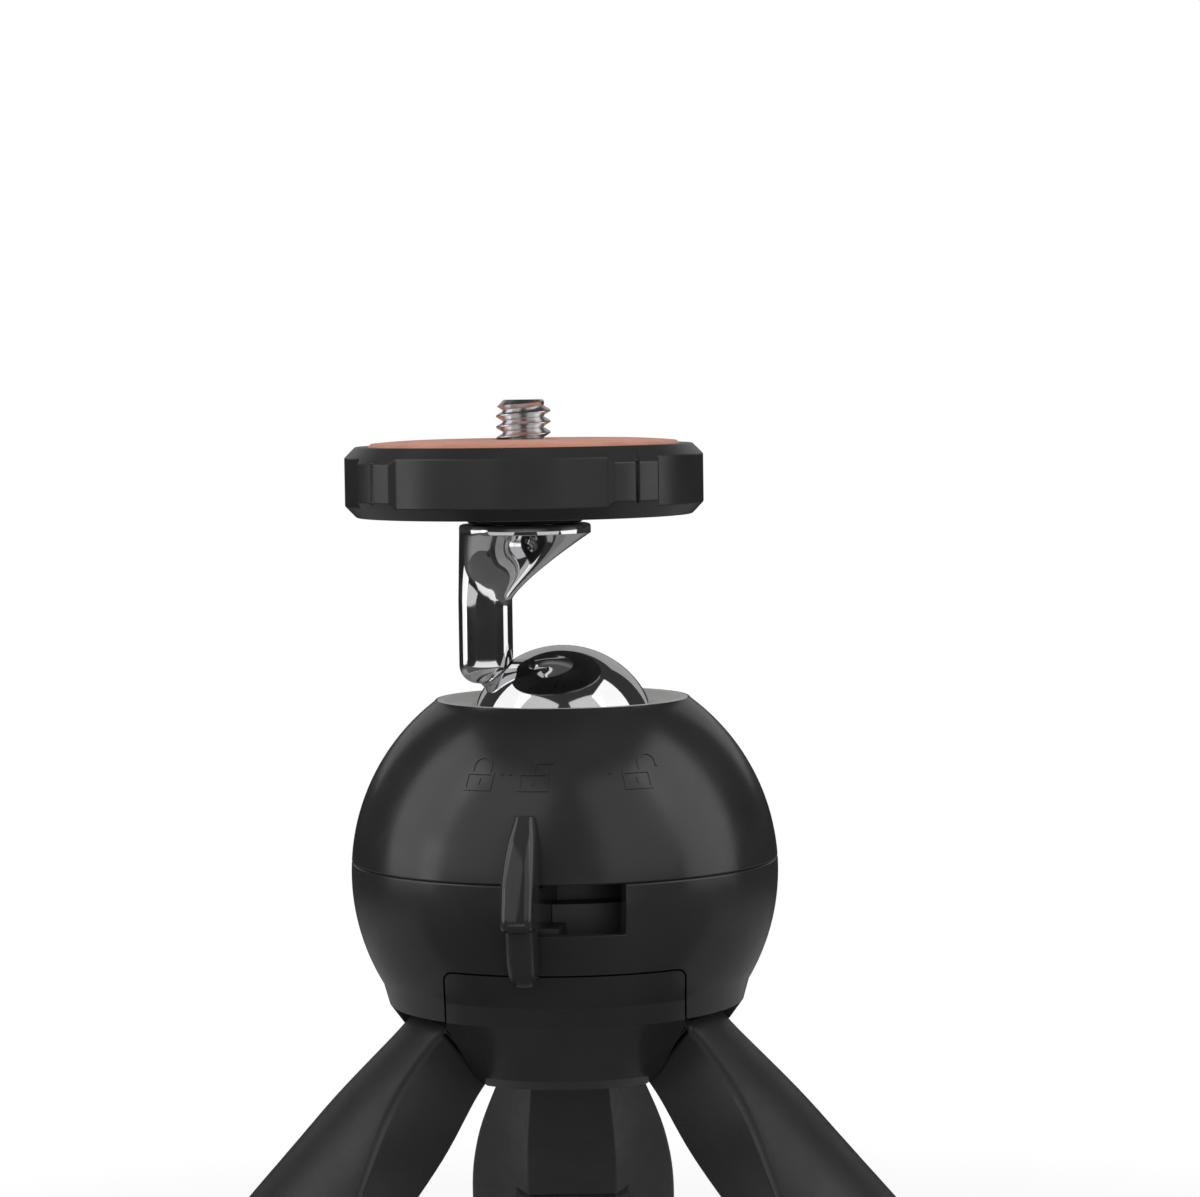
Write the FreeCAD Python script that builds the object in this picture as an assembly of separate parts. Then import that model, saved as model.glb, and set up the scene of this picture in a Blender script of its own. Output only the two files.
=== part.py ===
import FreeCAD, Part
import math
import os

# Table-top camera tripod with a ball head, millimetres.
# The model is built about the vertical axis of the ball-shaped body, whose centre is the
# working origin. The front is -Y. At the end every piece is moved so that the origin lies
# on the floor, under the middle of the whole tripod.

Vector = FreeCAD.Vector
Z_AXIS = Vector(0, 0, 1)

# Clearances
RUN_FIT = 0.05          # shaft in its bore, on the radius
SEAT_GAP = 0.12         # ball to its seats
SLIDE_GAP = 0.10        # flat faces that slide on each other
PART_GAP = 0.05         # fixed pieces that are assembled into each other
OPEN_GAP = 0.5          # moving piece to an edge that shows
END_GAP = 0.2           # end of a screw or rim of a washer to what surrounds it
OVER = 1.0              # how far a cutting form runs past what it cuts

# Ball-shaped body
BODY_R = 25.0
BODY_WALL = 2.0
SEAM_Z = 1.5
SEAM_EDGE = 0.25        # small chamfer that makes the seam line
NECK_Z = 20.25
NECK_GAP = 0.5          # bore of the neck to the housing inside it
NECK_STEP = 0.8         # width of the ledge that carries the socket ring
NECK_LEDGE = 1.2        # depth of that ledge below the neck's edge
NECK_HOLLOW = 0.1       # top edge of the hollow, inside the neck's radius
NECK_ROOF = 1.2         # thickness of the shell under that ledge
RIM_Z = -15.2
RIM_R = 20.8
RIM_TAPER = 2.4         # height of the straight taper above the rim
MOUTH_RELIEF = 1.2      # hollow wider than the mouth, between mouth and shelf
SHELF_Z = -8.4          # underside of the shelf in the lower shell
SHELF = 1.5
SHELF_BORE = 7.0

# Ball and its seats
BALL_R = 11.1
BALL_SINK = 5.0         # ball centre below the neck's edge
RING_DISH = 0.75        # depth of the dish in the socket ring
RING_LIP = 0.9
RING_LIP_EDGE = 0.5     # slope between the dish and the lip, in the radius
RING_LIP_EDGE_H = 0.3   # and in height
RING_SKIRT = 1.4        # ring's skirt below the ledge
UPPER_SEAT_WALL = 1.5
UPPER_SEAT_DROP = 0.6   # how far the upper seat starts above the ball's middle
HOUSING_BORE_GAP = 0.4
HOUSING_WALL = 1.9
HOUSING_FLOOR = 2.2
HOUSING_FLANGE = 1.4
LOWER_SEAT_R = 9.2
LOWER_SEAT_TOP = -6.0   # top edge of the lower seat, from the ball's centre
SPRING_R = 8.0
SPRING_BORE = 3.5
SPRING_T = 0.8
SPRING_CONE = 0.36      # rise of the cone from its outer to its inner edge

# Locking gear
CAM_WIDTH = 3.6
CAM_HEIGHT = 3.7
CAM_LIFT = 0.35
LUG_COUNT = 3
LUG_AZ = 60.0
LUG_WIDTH = 3.0
LUG_REACH = 3.1         # how far a lug stands out beyond the housing wall
LUG_GAP = 0.15          # lug to each side of its slot
PUSHER_T = 2.4
LEVER_AZ = -10.0        # locked position
LEVER_TRAVEL = 21.0
LEVER_WIDTH = 4.1
LEVER_TOP_WIDTH = 2.4
LEVER_TAIL_WIDTH = 3.4
LEVER_TOP = 9.2
LEVER_NOSE_Z = -3.5
LEVER_REACH = 5.6       # nose beyond the body's surface
LEVER_BOTTOM = -9.7
LEVER_EDGE = 0.4
SHANK_WIDTH = 3.2
SHANK_IN_HANDLE = 1.5
SLOT_DEPTH = 5.7
LEVER_SCREW_R = 0.8
LEVER_SCREW_HEAD_R = 1.3
LEVER_SCREW_HEAD = 1.0
LEVER_SCREW_EDGE = 0.25  # head of the inner screw to the bore of the cam ring

# Arm between ball and platform
STEM_TILT = 45.0        # stem of the ball, left of vertical at rest
ARM_LEFT = -12.0
ARM_R = 3.15
ARM_BOTTOM = 6.8        # underside of the arm above the ball's centre
ARM_CORNER = 2.2
FLARE_START = 16.6      # above the ball's centre
FLARE_END = 24.3
FLARE_BEND = 1.25       # how strongly the flare's right side bends outwards, 1 being straight
FLANGE_R = 7.7
FLANGE_T = 1.1
FLANGE_EDGE = 0.35
FLANGE_IN = 0.2         # left side of the flange, inside that of the arm
STUD_R = 2.0
STUD_IN_ARM = 3.6
STUD_IN_BALL = 8.0
FUSE = 0.5              # how far forms that become one piece run into each other

# Platform
PLATFORM_R = 21.5       # over the ribs
PLATFORM_H = 8.2
PLATFORM_TOP_DROP = 1.85
PLATFORM_TOP_IN = 1.85
PLATFORM_FOOT_RISE = 2.0
PLATFORM_FOOT_IN = 1.9
COLLAR_H = 0.9
COLLAR_TOP_R = 7.55
COLLAR_FOOT_R = 6.5
SPIGOT_R = 4.5
SPIGOT_H = 4.0
PIVOT_POCKET_R = 8.8
PIVOT_WASHER_R = 7.5
PIVOT_WASHER_T = 0.6
FRICTION_WASHER_R = 8.5
FRICTION_WASHER_T = 0.5
PIVOT_SCREW_R = 1.5
PIVOT_SCREW_HEAD_R = 2.9
PIVOT_SCREW_HEAD = 1.1
PIVOT_SCREW_DEPTH = 6.0
GRIP_COUNT = 4
GRIP_AZ = -9.0          # middle of the front grip panel
GRIP_SPAN = 73.0
GRIP_DEPTH = 0.6
GRIP_GROOVE_R = 0.25    # groove down the middle of each rib between two panels
PAD_R = 18.2
PAD_SINK = 1.0
PAD_RISE = 0.65
PAD_DOME = 0.3
PAD_EDGE = 0.4
PAD_FLAT_R = 12.0       # flat middle of the pad
PAD_BORE_GAP = 0.4      # pad to the screw
SCREW_R = 3.175
SCREW_NECK_R = 2.6      # relief below the thread, inside the pad
SCREW_ABOVE_PAD = 4.6
SCREW_CHAMFER = 0.9
SCREW_FLANGE_R = 10.5
SCREW_FLANGE_T = 1.4

# Hub and legs
LEG_COUNT = 3
LEG_AZ = 60.0           # front right leg
HINGE_R = 11.7
HINGE_Z = -15.0
PIN_R = 1.5
PIN_IN_HUB = 3.4
LEG_OPEN = 48.0         # swing between folded and open
LEG_OUTER = 4.2         # outer face of a leg's tongue beyond its hinge, folded
STOP_GAP = 0.1
BOSS_GAP = 0.25
TONGUE_WIDTH = 9.4
TONGUE_GAP = 0.3
TONGUE_LENGTH = 9.0
PETAL_SIDE = 21.0       # side face of a petal, from the radius of the next leg
PETAL_APEX_R = 3.7      # where the side faces of a slot meet
PETAL_HALF = 13.5       # half width of a petal inside the body
PETAL_CORNER = 0.9      # rounded top corners
PETAL_TOP_Z = -9.0
PETAL_BOTTOM_Z = -23.4
PETAL_BOTTOM_R = 15.3
PETAL_EDGE = 1.2        # height of the sloping edge at a petal's foot
PETAL_EDGE_OUT = 0.4    # top of that edge, beyond the foot's radius
PETAL_EDGE_IN = 0.95    # bottom of that edge, inside the foot's radius
PETAL_FOOT_HALF = 9.0   # half width of a petal's lowest edge
PETAL_FOOT_RISE = 3.1   # where its sloping ends would reach the full width
PETAL_GAP = 0.25
HUB_IN_SHELL = 0.3
HUB_SCREW_IN = 0.5      # circle of the hub screws, inside the housing's bore
HUB_SCREW_R = 1.25
HUB_SCREW_HEAD_R = 2.3
HUB_SCREW_HEAD = 1.5
HUB_SCREW_SEAT_Z = -12.0
LEG_LENGTH = 105.0      # hinge to tip
LEG_WALL = 1.9
LEG_SIDE_WALL = 2.2
LEG_CORNER = 1.4
COVER_T = 1.2
COVER_START = 36.0
FOOT_LENGTH = 12.0
FOOT_GROW = 0.35
FOOT_TRIM = 1.5
FOOT_ROUND = 2.0
FOOT_END_IN = 1.5       # how far the rounded end of the foot draws in

# Shape of a leg: share of the way from tongue to tip, half width,
# outer face from the tripod's axis, inner face from the axis, half width of the inner band
LEG_STATIONS = (
    (-0.035, 4.7, 16.00, 6.80, 4.6),
    (0.00, 4.7, 16.00, 6.30, 4.6),
    (0.08, 6.3, 16.10, 4.60, 5.0),
    (0.18, 9.8, 15.95, 3.70, 5.5),
    (0.27, 12.4, 15.85, 3.50, 5.6),
    (0.39, 13.4, 15.85, 3.50, 5.6),
    (0.60, 13.0, 15.50, 3.60, 5.6),
    (0.82, 11.3, 14.50, 4.40, 5.4),
    (1.00, 8.6, 13.20, 6.00, 4.6),
)
HOLLOW_STATIONS = LEG_STATIONS[4:8]     # the part of the leg that is hollow

# Heights that follow from the sizes above
BALL_Z = NECK_Z - BALL_SINK
BALL_AT = Vector(0, 0, BALL_Z)
FLOOR_TOP_Z = SHELF_Z + SHELF + HOUSING_FLOOR
FLANGE_TOP_Z = SHELF_Z + SHELF + HOUSING_FLANGE
HOUSING_R = BALL_R + HOUSING_BORE_GAP
HOUSING_OUT_R = HOUSING_R + HOUSING_WALL
HOUSING_TOP_Z = NECK_Z - NECK_LEDGE - RING_SKIRT
NECK_BORE_R = HOUSING_OUT_R + NECK_GAP
NECK_R = NECK_BORE_R + NECK_STEP
HUB_SCREW_CIRCLE = HOUSING_R - HUB_SCREW_IN
COVER_R = min(station[3] for station in LEG_STATIONS) + COVER_T
CAM_Z = FLANGE_TOP_Z + SLIDE_GAP
CAM_TOP_Z = CAM_Z + CAM_HEIGHT
CAM_IN_R = HOUSING_OUT_R + RUN_FIT
CAM_OUT_R = CAM_IN_R + CAM_WIDTH
LUG_R = HOUSING_OUT_R + LUG_REACH
PUSHER_Z = CAM_TOP_Z + SLIDE_GAP
SPRING_Z = PUSHER_Z + PUSHER_T
LOWER_SEAT_Z = SPRING_Z + SPRING_T + PART_GAP
SLOT_Z = SEAM_Z - SLOT_DEPTH
SHANK_Z = SLOT_Z + OPEN_GAP
SHANK_TOP_Z = SEAM_Z - OPEN_GAP
LUG_PAD_R = math.sqrt((BODY_R - BODY_WALL) ** 2 - CAM_Z ** 2 - SHANK_WIDTH ** 2) - OPEN_GAP
ARM_X = ARM_LEFT + ARM_R
PLATFORM_X = ARM_LEFT + FLANGE_IN + FLANGE_R
ARM_TOP_Z = BALL_Z + FLARE_END + FLANGE_T
COLLAR_Z = ARM_TOP_Z + SLIDE_GAP
PLATFORM_Z = COLLAR_Z + COLLAR_H
PLATFORM_TOP_Z = PLATFORM_Z + PLATFORM_H
PAD_Z = PLATFORM_TOP_Z - PAD_SINK
PAD_TOP_Z = PLATFORM_TOP_Z + PAD_RISE
SCREW_TIP_Z = PAD_TOP_Z + SCREW_ABOVE_PAD
STEM = Vector(-math.sin(math.radians(STEM_TILT)), 0, math.cos(math.radians(STEM_TILT)))
LEG_AZIMUTHS = [LEG_AZ + i * 360.0 / LEG_COUNT for i in range(LEG_COUNT)]
PETAL_AZIMUTHS = [a + 180.0 / LEG_COUNT for a in LEG_AZIMUTHS]


def at_radius(radius, azimuth, z):
    """Point at a radius and an azimuth, where azimuth 0 is the front and 90 the right."""
    a = math.radians(azimuth)
    return Vector(radius * math.sin(a), -radius * math.cos(a), z)


def turned(shape, azimuth, centre=Vector(0, 0, 0), axis=Z_AXIS):
    """Copy of a shape, turned about an axis through a point."""
    copy = shape.copy()
    copy.rotate(centre, axis, azimuth)
    return copy


def cylinder(radius, z_low, z_high, x=0.0, y=0.0):
    return Part.makeCylinder(radius, z_high - z_low, Vector(x, y, z_low), Z_AXIS)


def ring(outer, inner, z_low, z_high, x=0.0):
    return cylinder(outer, z_low, z_high, x).cut(cylinder(inner, z_low - OVER, z_high + OVER, x))


def block(x_low, x_high, y_low, y_high, z_low, z_high):
    return Part.makeBox(x_high - x_low, y_high - y_low, z_high - z_low, Vector(x_low, y_low, z_low))


def revolve(edges, x=0.0):
    """Solid turned about the vertical axis from edges in the X-Z plane."""
    face = Part.Face(Part.Wire(Part.__sortEdges__(edges)))
    solid = face.revolve(Vector(0, 0, 0), Z_AXIS, 360)
    solid = Part.makeSolid(solid.Shells[0]) if solid.ShapeType != "Solid" else solid
    solid.translate(Vector(x, 0, 0))
    return solid


def polygon_edges(points):
    """Closed outline of straight lines through (r, z) points, in the X-Z plane."""
    corners = [Vector(r, 0, z) for r, z in points]
    return [Part.LineSegment(a, b).toShape() for a, b in zip(corners, corners[1:] + corners[:1])]


def revolve_points(points, x=0.0):
    return revolve(polygon_edges(points), x)


def prism(points, half_width):
    """Radial section given as (r, z), for the front azimuth, extruded across to both sides."""
    corners = [Vector(-half_width, -r, z) for r, z in points]
    wire = Part.makePolygon(corners + corners[:1])
    return Part.Face(wire).extrude(Vector(2 * half_width, 0, 0))


def joined(shapes):
    """One solid from overlapping shapes."""
    out = shapes[0]
    for other in shapes[1:]:
        out = out.fuse(other)
    return out.removeSplitter()


def group(shapes):
    """Separate identical pieces, kept together under one name."""
    return Part.makeCompound(shapes)


def sector(outer, span, azimuth, z_low, z_high):
    """Pie slice, centred on an azimuth."""
    slice_ = Part.makeCylinder(outer, z_high - z_low, Vector(0, 0, z_low), Z_AXIS, span)
    return turned(slice_, azimuth - 90 - span / 2.0)


def pan_screw(radius, head_radius, head, length, head_up=True):
    """Screw along Z: its head, with a round socket, starts at the origin, its shank runs the other way."""
    side = 1 if head_up else -1
    top = Part.makeCylinder(head_radius, head, Vector(0, 0, 0), Vector(0, 0, side))
    shank = Part.makeCylinder(radius, length, Vector(0, 0, 0), Vector(0, 0, -side))
    socket = Part.makeCylinder(head_radius / 2.0, head / 2.0, Vector(0, 0, side * head), Vector(0, 0, -side))
    return top.fuse(shank).removeSplitter().cut(socket)


# Body shells

def rim_start():
    """Point on the ball, as (r, z), where the straight taper to the bottom rim starts."""
    taper_z = RIM_Z + RIM_TAPER
    return math.sqrt(BODY_R ** 2 - taper_z ** 2), taper_z


def mouth_radius():
    """Opening in the bottom of the body, one wall inside its narrowest part there."""
    return min(RIM_R, rim_start()[0]) - BODY_WALL


def shoulder(radius, top_r, top_z):
    """Points, as (r, z), from a ball's surface to the edge of its flat top.

    An edge that stands off the ball gets a short cone that leads up to it."""
    reach = math.hypot(top_r, top_z)
    if reach > radius:
        leave = math.atan2(top_z, top_r) - math.acos(radius / reach)
        return [(radius * math.cos(leave), radius * math.sin(leave)), (top_r, top_z)]
    return [(math.sqrt(radius ** 2 - top_z ** 2), top_z)]


def ball_form(radius, top_r, top_z, low):
    """Ball with a flat top, and below it points from the ball's surface to the edge of the flat foot."""
    top = shoulder(radius, top_r, top_z)
    side = Part.Arc(Vector(low[0][0], 0, low[0][1]), Vector(radius, 0, 0), Vector(top[0][0], 0, top[0][1]))
    corners = top + [(0, top_z), (0, low[-1][1])] + low[::-1]
    points = [Vector(r, 0, z) for r, z in corners]
    return revolve([side.toShape()] + [Part.LineSegment(a, b).toShape() for a, b in zip(points, points[1:])])


def body_outer():
    """Outer form of the whole body: a ball with a straight taper above the bottom rim."""
    return ball_form(BODY_R, NECK_R, NECK_Z, [rim_start(), (RIM_R, RIM_Z)])


def body_inner():
    """Hollow of the body: the same form, one wall inwards."""
    inner_r = BODY_R - BODY_WALL
    top_z = NECK_Z - NECK_LEDGE - NECK_ROOF
    shelf_side = (math.sqrt(inner_r ** 2 - SHELF_Z ** 2), SHELF_Z)
    upper = ball_form(inner_r, NECK_R - NECK_HOLLOW, top_z, [shelf_side])
    wide = cylinder(mouth_radius() + MOUTH_RELIEF, RIM_Z + RIM_TAPER, SHELF_Z)
    lower = Part.makeSphere(inner_r).common(wide)
    below = cylinder(mouth_radius(), RIM_Z - OVER, SHELF_Z)
    return joined([upper, lower, below])


def seam_cut():
    """Shallow V groove round the seam."""
    return revolve_points([
        (BODY_R + OVER, SEAM_Z + OVER + SEAM_EDGE),
        (BODY_R - SEAM_EDGE, SEAM_Z),
        (BODY_R + OVER, SEAM_Z - OVER - SEAM_EDGE),
    ])


def make_upper_shell():
    shell = body_outer().cut(body_inner())
    shell = shell.common(cylinder(BODY_R + OVER, SEAM_Z, NECK_Z + OVER))
    shell = shell.cut(cylinder(NECK_BORE_R, SEAM_Z, NECK_Z + OVER))
    shell = shell.cut(cylinder(NECK_R, NECK_Z - NECK_LEDGE, NECK_Z + OVER))
    return shell.cut(seam_cut())


def lever_slot():
    """Slot for the lever's shank, from the locked to the open position."""
    reach = math.degrees(math.asin((SHANK_WIDTH / 2.0 + OPEN_GAP) / (BODY_R - BODY_WALL)))
    span = LEVER_TRAVEL + 2 * reach
    middle = LEVER_AZ + LEVER_TRAVEL / 2.0
    return sector(BODY_R + OVER, span, middle, SLOT_Z, SEAM_Z + OVER)


def make_lower_shell():
    shell = body_outer().cut(body_inner())
    shell = shell.common(cylinder(BODY_R + OVER, RIM_Z - OVER, SEAM_Z))
    shelf_r = math.sqrt((BODY_R - BODY_WALL / 2.0) ** 2 - SHELF_Z ** 2)
    shell = joined([shell, ring(shelf_r, SHELF_BORE, SHELF_Z, SHELF_Z + SHELF)])
    shell = shell.cut(seam_cut()).cut(lever_slot())
    for azimuth in PETAL_AZIMUTHS:
        shell = shell.cut(turned(petal_room(PETAL_GAP), azimuth))
        shell = shell.cut(hub_screw_hole(azimuth))
    return shell


# Ball, seats and housing

def make_socket_ring():
    """Dished ring screwed on the housing; it holds the upper seat and the upper shell."""
    flange_r = NECK_R - PART_GAP
    body_r = NECK_BORE_R - PART_GAP
    ledge_z = NECK_Z - NECK_LEDGE + PART_GAP
    lip_z = NECK_Z - RING_DISH
    lip_low_z = lip_z - RING_LIP
    lip_r = math.sqrt(BALL_R ** 2 - (lip_low_z - BALL_Z) ** 2) + SEAT_GAP
    seat_r = upper_seat_outer() + PART_GAP
    return revolve_points([
        (flange_r, ledge_z),
        (flange_r, NECK_Z),
        (lip_r + RING_LIP_EDGE, lip_z),
        (lip_r, lip_z - RING_LIP_EDGE_H),
        (lip_r, lip_low_z),
        (seat_r, lip_low_z),
        (seat_r, HOUSING_TOP_Z),
        (body_r, HOUSING_TOP_Z),
        (body_r, ledge_z),
    ])


def upper_seat_outer():
    return HOUSING_R + UPPER_SEAT_WALL - HOUSING_BORE_GAP


def make_upper_seat():
    low_z = BALL_Z + UPPER_SEAT_DROP
    high_z = NECK_Z - RING_DISH - RING_LIP - PART_GAP
    seat = cylinder(upper_seat_outer(), low_z, high_z)
    return seat.cut(Part.makeSphere(BALL_R + SEAT_GAP, BALL_AT))


def make_housing():
    foot_z = SHELF_Z + SHELF
    wall = ring(HOUSING_OUT_R, HOUSING_R, foot_z, HOUSING_TOP_Z - PART_GAP)
    floor = cylinder(HOUSING_R + FUSE, foot_z, FLOOR_TOP_Z)
    flange = cylinder(CAM_OUT_R, foot_z, FLANGE_TOP_Z)
    housing = joined([wall, floor, flange])
    seat_pocket = cylinder(upper_seat_outer() + PART_GAP, BALL_Z + UPPER_SEAT_DROP - PART_GAP, NECK_Z)
    housing = housing.cut(seat_pocket)
    for azimuth in lug_azimuths():
        slot_half = LUG_WIDTH / 2.0 + LUG_GAP
        low = PUSHER_Z - CAM_LIFT - OPEN_GAP
        high = PUSHER_Z + PUSHER_T + OPEN_GAP
        slot = block(-slot_half, slot_half, -HOUSING_OUT_R - OVER, -HOUSING_R + OVER, low, high)
        housing = housing.cut(turned(slot, azimuth))
    for azimuth in PETAL_AZIMUTHS:
        housing = housing.cut(hub_screw_hole(azimuth))
    return housing


def make_lower_seat():
    seat = cylinder(LOWER_SEAT_R, LOWER_SEAT_Z, BALL_Z + LOWER_SEAT_TOP)
    return seat.cut(Part.makeSphere(BALL_R + SEAT_GAP, BALL_AT))


def make_ball():
    ball = Part.makeSphere(BALL_R, BALL_AT)
    start = BALL_AT + STEM * (BALL_R - STUD_IN_BALL - PART_GAP)
    bore = Part.makeCylinder(STUD_R + RUN_FIT, STUD_IN_BALL + 2 * OVER, start, STEM)
    return ball.cut(bore)


# Locking gear

def lug_azimuths():
    return [LUG_AZ + i * 360.0 / LUG_COUNT for i in range(LUG_COUNT)]


def ramp_cut(azimuth, above):
    """Space over the sloping ramp under one lug, starting a gap above the ramp."""
    middle_r = (CAM_IN_R + CAM_OUT_R) / 2.0
    run = middle_r * math.radians(LEVER_TRAVEL)
    slope = math.degrees(math.atan(CAM_LIFT / run))
    behind = run + LUG_WIDTH
    ahead = LUG_WIDTH
    space = block(-behind, ahead, -CAM_OUT_R - OVER, -HOUSING_R + 2 * OVER, 0, CAM_HEIGHT + PUSHER_T)
    space.rotate(Vector(0, 0, 0), Vector(0, 1, 0), -slope)
    space.translate(Vector(0, 0, CAM_TOP_Z + above))
    return turned(space, azimuth)


def make_cam_ring():
    """Ring with three ramps, and the pad that the lever's shank is screwed to."""
    cam = ring(CAM_OUT_R, CAM_IN_R, CAM_Z, CAM_TOP_Z)
    for azimuth in lug_azimuths():
        cam = cam.cut(ramp_cut(azimuth, 0.0))
    pad = block(-SHANK_WIDTH, SHANK_WIDTH, -LUG_PAD_R, -CAM_OUT_R + 2 * FUSE, CAM_Z, SHANK_Z - PART_GAP)
    notch = block(-SHANK_WIDTH / 2.0 - PART_GAP, SHANK_WIDTH / 2.0 + PART_GAP,
                  -LUG_PAD_R - OVER, -CAM_IN_R + OVER, SHANK_Z - PART_GAP, CAM_TOP_Z + OVER)
    cam = cam.fuse(turned(pad, LEVER_AZ)).removeSplitter().cut(turned(notch, LEVER_AZ))
    for radius in lever_screw_radii():
        at = at_radius(radius, LEVER_AZ, 0)
        cam = cam.cut(cylinder(LEVER_SCREW_R + PART_GAP, CAM_Z - OVER, CAM_TOP_Z + OVER, at.x, at.y))
    return cam


def lever_screw_radii():
    return (CAM_IN_R + LEVER_SCREW_EDGE + LEVER_SCREW_HEAD_R, LUG_PAD_R - LEVER_SCREW_HEAD_R)


def make_pusher():
    """Disc under the lower seat; its three lugs stand on the ramps of the cam ring."""
    disc = cylinder(HOUSING_R - SLIDE_GAP, PUSHER_Z, PUSHER_Z + PUSHER_T)
    pusher = disc
    for azimuth in lug_azimuths():
        low = PUSHER_Z - CAM_LIFT
        half = LUG_WIDTH / 2.0
        lug = block(-half, half, -LUG_R, -HOUSING_R + 2 * FUSE, low, PUSHER_Z + PUSHER_T)
        lug = turned(lug, azimuth).common(ramp_cut(azimuth, SLIDE_GAP))
        pusher = pusher.fuse(lug)
    return pusher.removeSplitter()


def make_disc_spring():
    """Conical spring washer between the pusher and the lower seat."""
    return revolve_points([
        (SPRING_BORE, SPRING_Z + SPRING_CONE),
        (SPRING_R, SPRING_Z),
        (SPRING_R, SPRING_Z + SPRING_T - SPRING_CONE),
        (SPRING_BORE, SPRING_Z + SPRING_T),
    ])


def lever_section(z, width, front):
    """Level section of the lever's handle at the front azimuth, with rounded front corners."""
    half = width / 2.0
    back = BODY_R - LEVER_REACH
    bend = LEVER_EDGE * (1 - math.sqrt(0.5))
    corners = [Vector(-half, -back, z), Vector(-half, -front + LEVER_EDGE, z),
               Vector(-half + bend, -front + bend, z), Vector(-half + LEVER_EDGE, -front, z)]
    mirror = [Vector(-c.x, c.y, c.z) for c in corners]
    edges = [
        Part.LineSegment(corners[0], corners[1]),
        Part.Arc(corners[1], corners[2], corners[3]),
        Part.LineSegment(corners[3], mirror[3]),
        Part.Arc(mirror[3], mirror[2], mirror[1]),
        Part.LineSegment(mirror[1], mirror[0]),
        Part.LineSegment(mirror[0], corners[0]),
    ]
    return Part.Wire([e.toShape() for e in edges])


def make_lock_lever():
    """Nose-shaped lever outside the body, with a shank that passes through the slot."""
    near = BODY_R + OPEN_GAP
    nose = BODY_R + LEVER_REACH
    rise = LEVER_TOP - LEVER_NOSE_Z
    drop = LEVER_NOSE_Z - LEVER_BOTTOM
    upper = [
        (LEVER_TOP, LEVER_TOP_WIDTH, nose - 0.98 * LEVER_REACH),
        (LEVER_NOSE_Z + 0.78 * rise, 0.78 * LEVER_WIDTH, nose - 0.62 * LEVER_REACH),
        (LEVER_NOSE_Z + 0.52 * rise, LEVER_WIDTH, nose - 0.29 * LEVER_REACH),
        (LEVER_NOSE_Z + 0.24 * rise, LEVER_WIDTH, nose - 0.07 * LEVER_REACH),
        (LEVER_NOSE_Z + 0.02 * rise, LEVER_WIDTH, nose),
        (LEVER_NOSE_Z - 0.10 * drop, LEVER_WIDTH, nose - 0.03 * LEVER_REACH),
        (LEVER_NOSE_Z - 0.18 * drop, 0.95 * LEVER_WIDTH, nose - 0.12 * LEVER_REACH),
    ]
    lower = [
        (LEVER_NOSE_Z - 0.10 * drop, LEVER_TAIL_WIDTH, nose - 0.32 * LEVER_REACH),
        (LEVER_NOSE_Z - 0.50 * drop, LEVER_TAIL_WIDTH, nose - 0.37 * LEVER_REACH),
        (LEVER_NOSE_Z - 0.80 * drop, 0.94 * LEVER_TAIL_WIDTH, nose - 0.49 * LEVER_REACH),
        (LEVER_NOSE_Z - 0.94 * drop, 0.82 * LEVER_TAIL_WIDTH, nose - 0.62 * LEVER_REACH),
        (LEVER_BOTTOM, LEVER_TOP_WIDTH, nose - 0.76 * LEVER_REACH),
    ]
    blade = Part.makeLoft([lever_section(*size) for size in upper], True, False)
    tail = Part.makeLoft([lever_section(*size) for size in lower], True, False)
    handle = blade.fuse(tail).cut(Part.makeSphere(near))
    half = SHANK_WIDTH / 2.0
    shank = block(-half, half, -near - SHANK_IN_HANDLE, -CAM_IN_R - PART_GAP, SHANK_Z, SHANK_TOP_Z)
    lever = handle.fuse(shank).removeSplitter()
    for radius in lever_screw_radii():
        lever = lever.cut(cylinder(LEVER_SCREW_R + PART_GAP, SHANK_Z - OVER, SHANK_TOP_Z + OVER, 0, -radius))
        head_z = SHANK_TOP_Z - LEVER_SCREW_HEAD
        lever = lever.cut(cylinder(LEVER_SCREW_HEAD_R + PART_GAP, head_z, SHANK_TOP_Z + OVER, 0, -radius))
    return turned(lever, LEVER_AZ)


def make_lever_screws():
    screws = []
    head_z = SHANK_TOP_Z - LEVER_SCREW_HEAD
    length = head_z - CAM_Z - END_GAP
    for radius in lever_screw_radii():
        screw = pan_screw(LEVER_SCREW_R, LEVER_SCREW_HEAD_R, LEVER_SCREW_HEAD - SLIDE_GAP, length)
        screw.translate(at_radius(radius, LEVER_AZ, head_z))
        screws.append(screw)
    return group(screws)


# Arm and platform

def flare_right(share):
    """Right-hand edge of the flare: it bends outwards, as a trumpet does."""
    start = ARM_X + ARM_R
    end = PLATFORM_X + FLANGE_R
    return start + (end - start) * share ** FLARE_BEND


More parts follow.
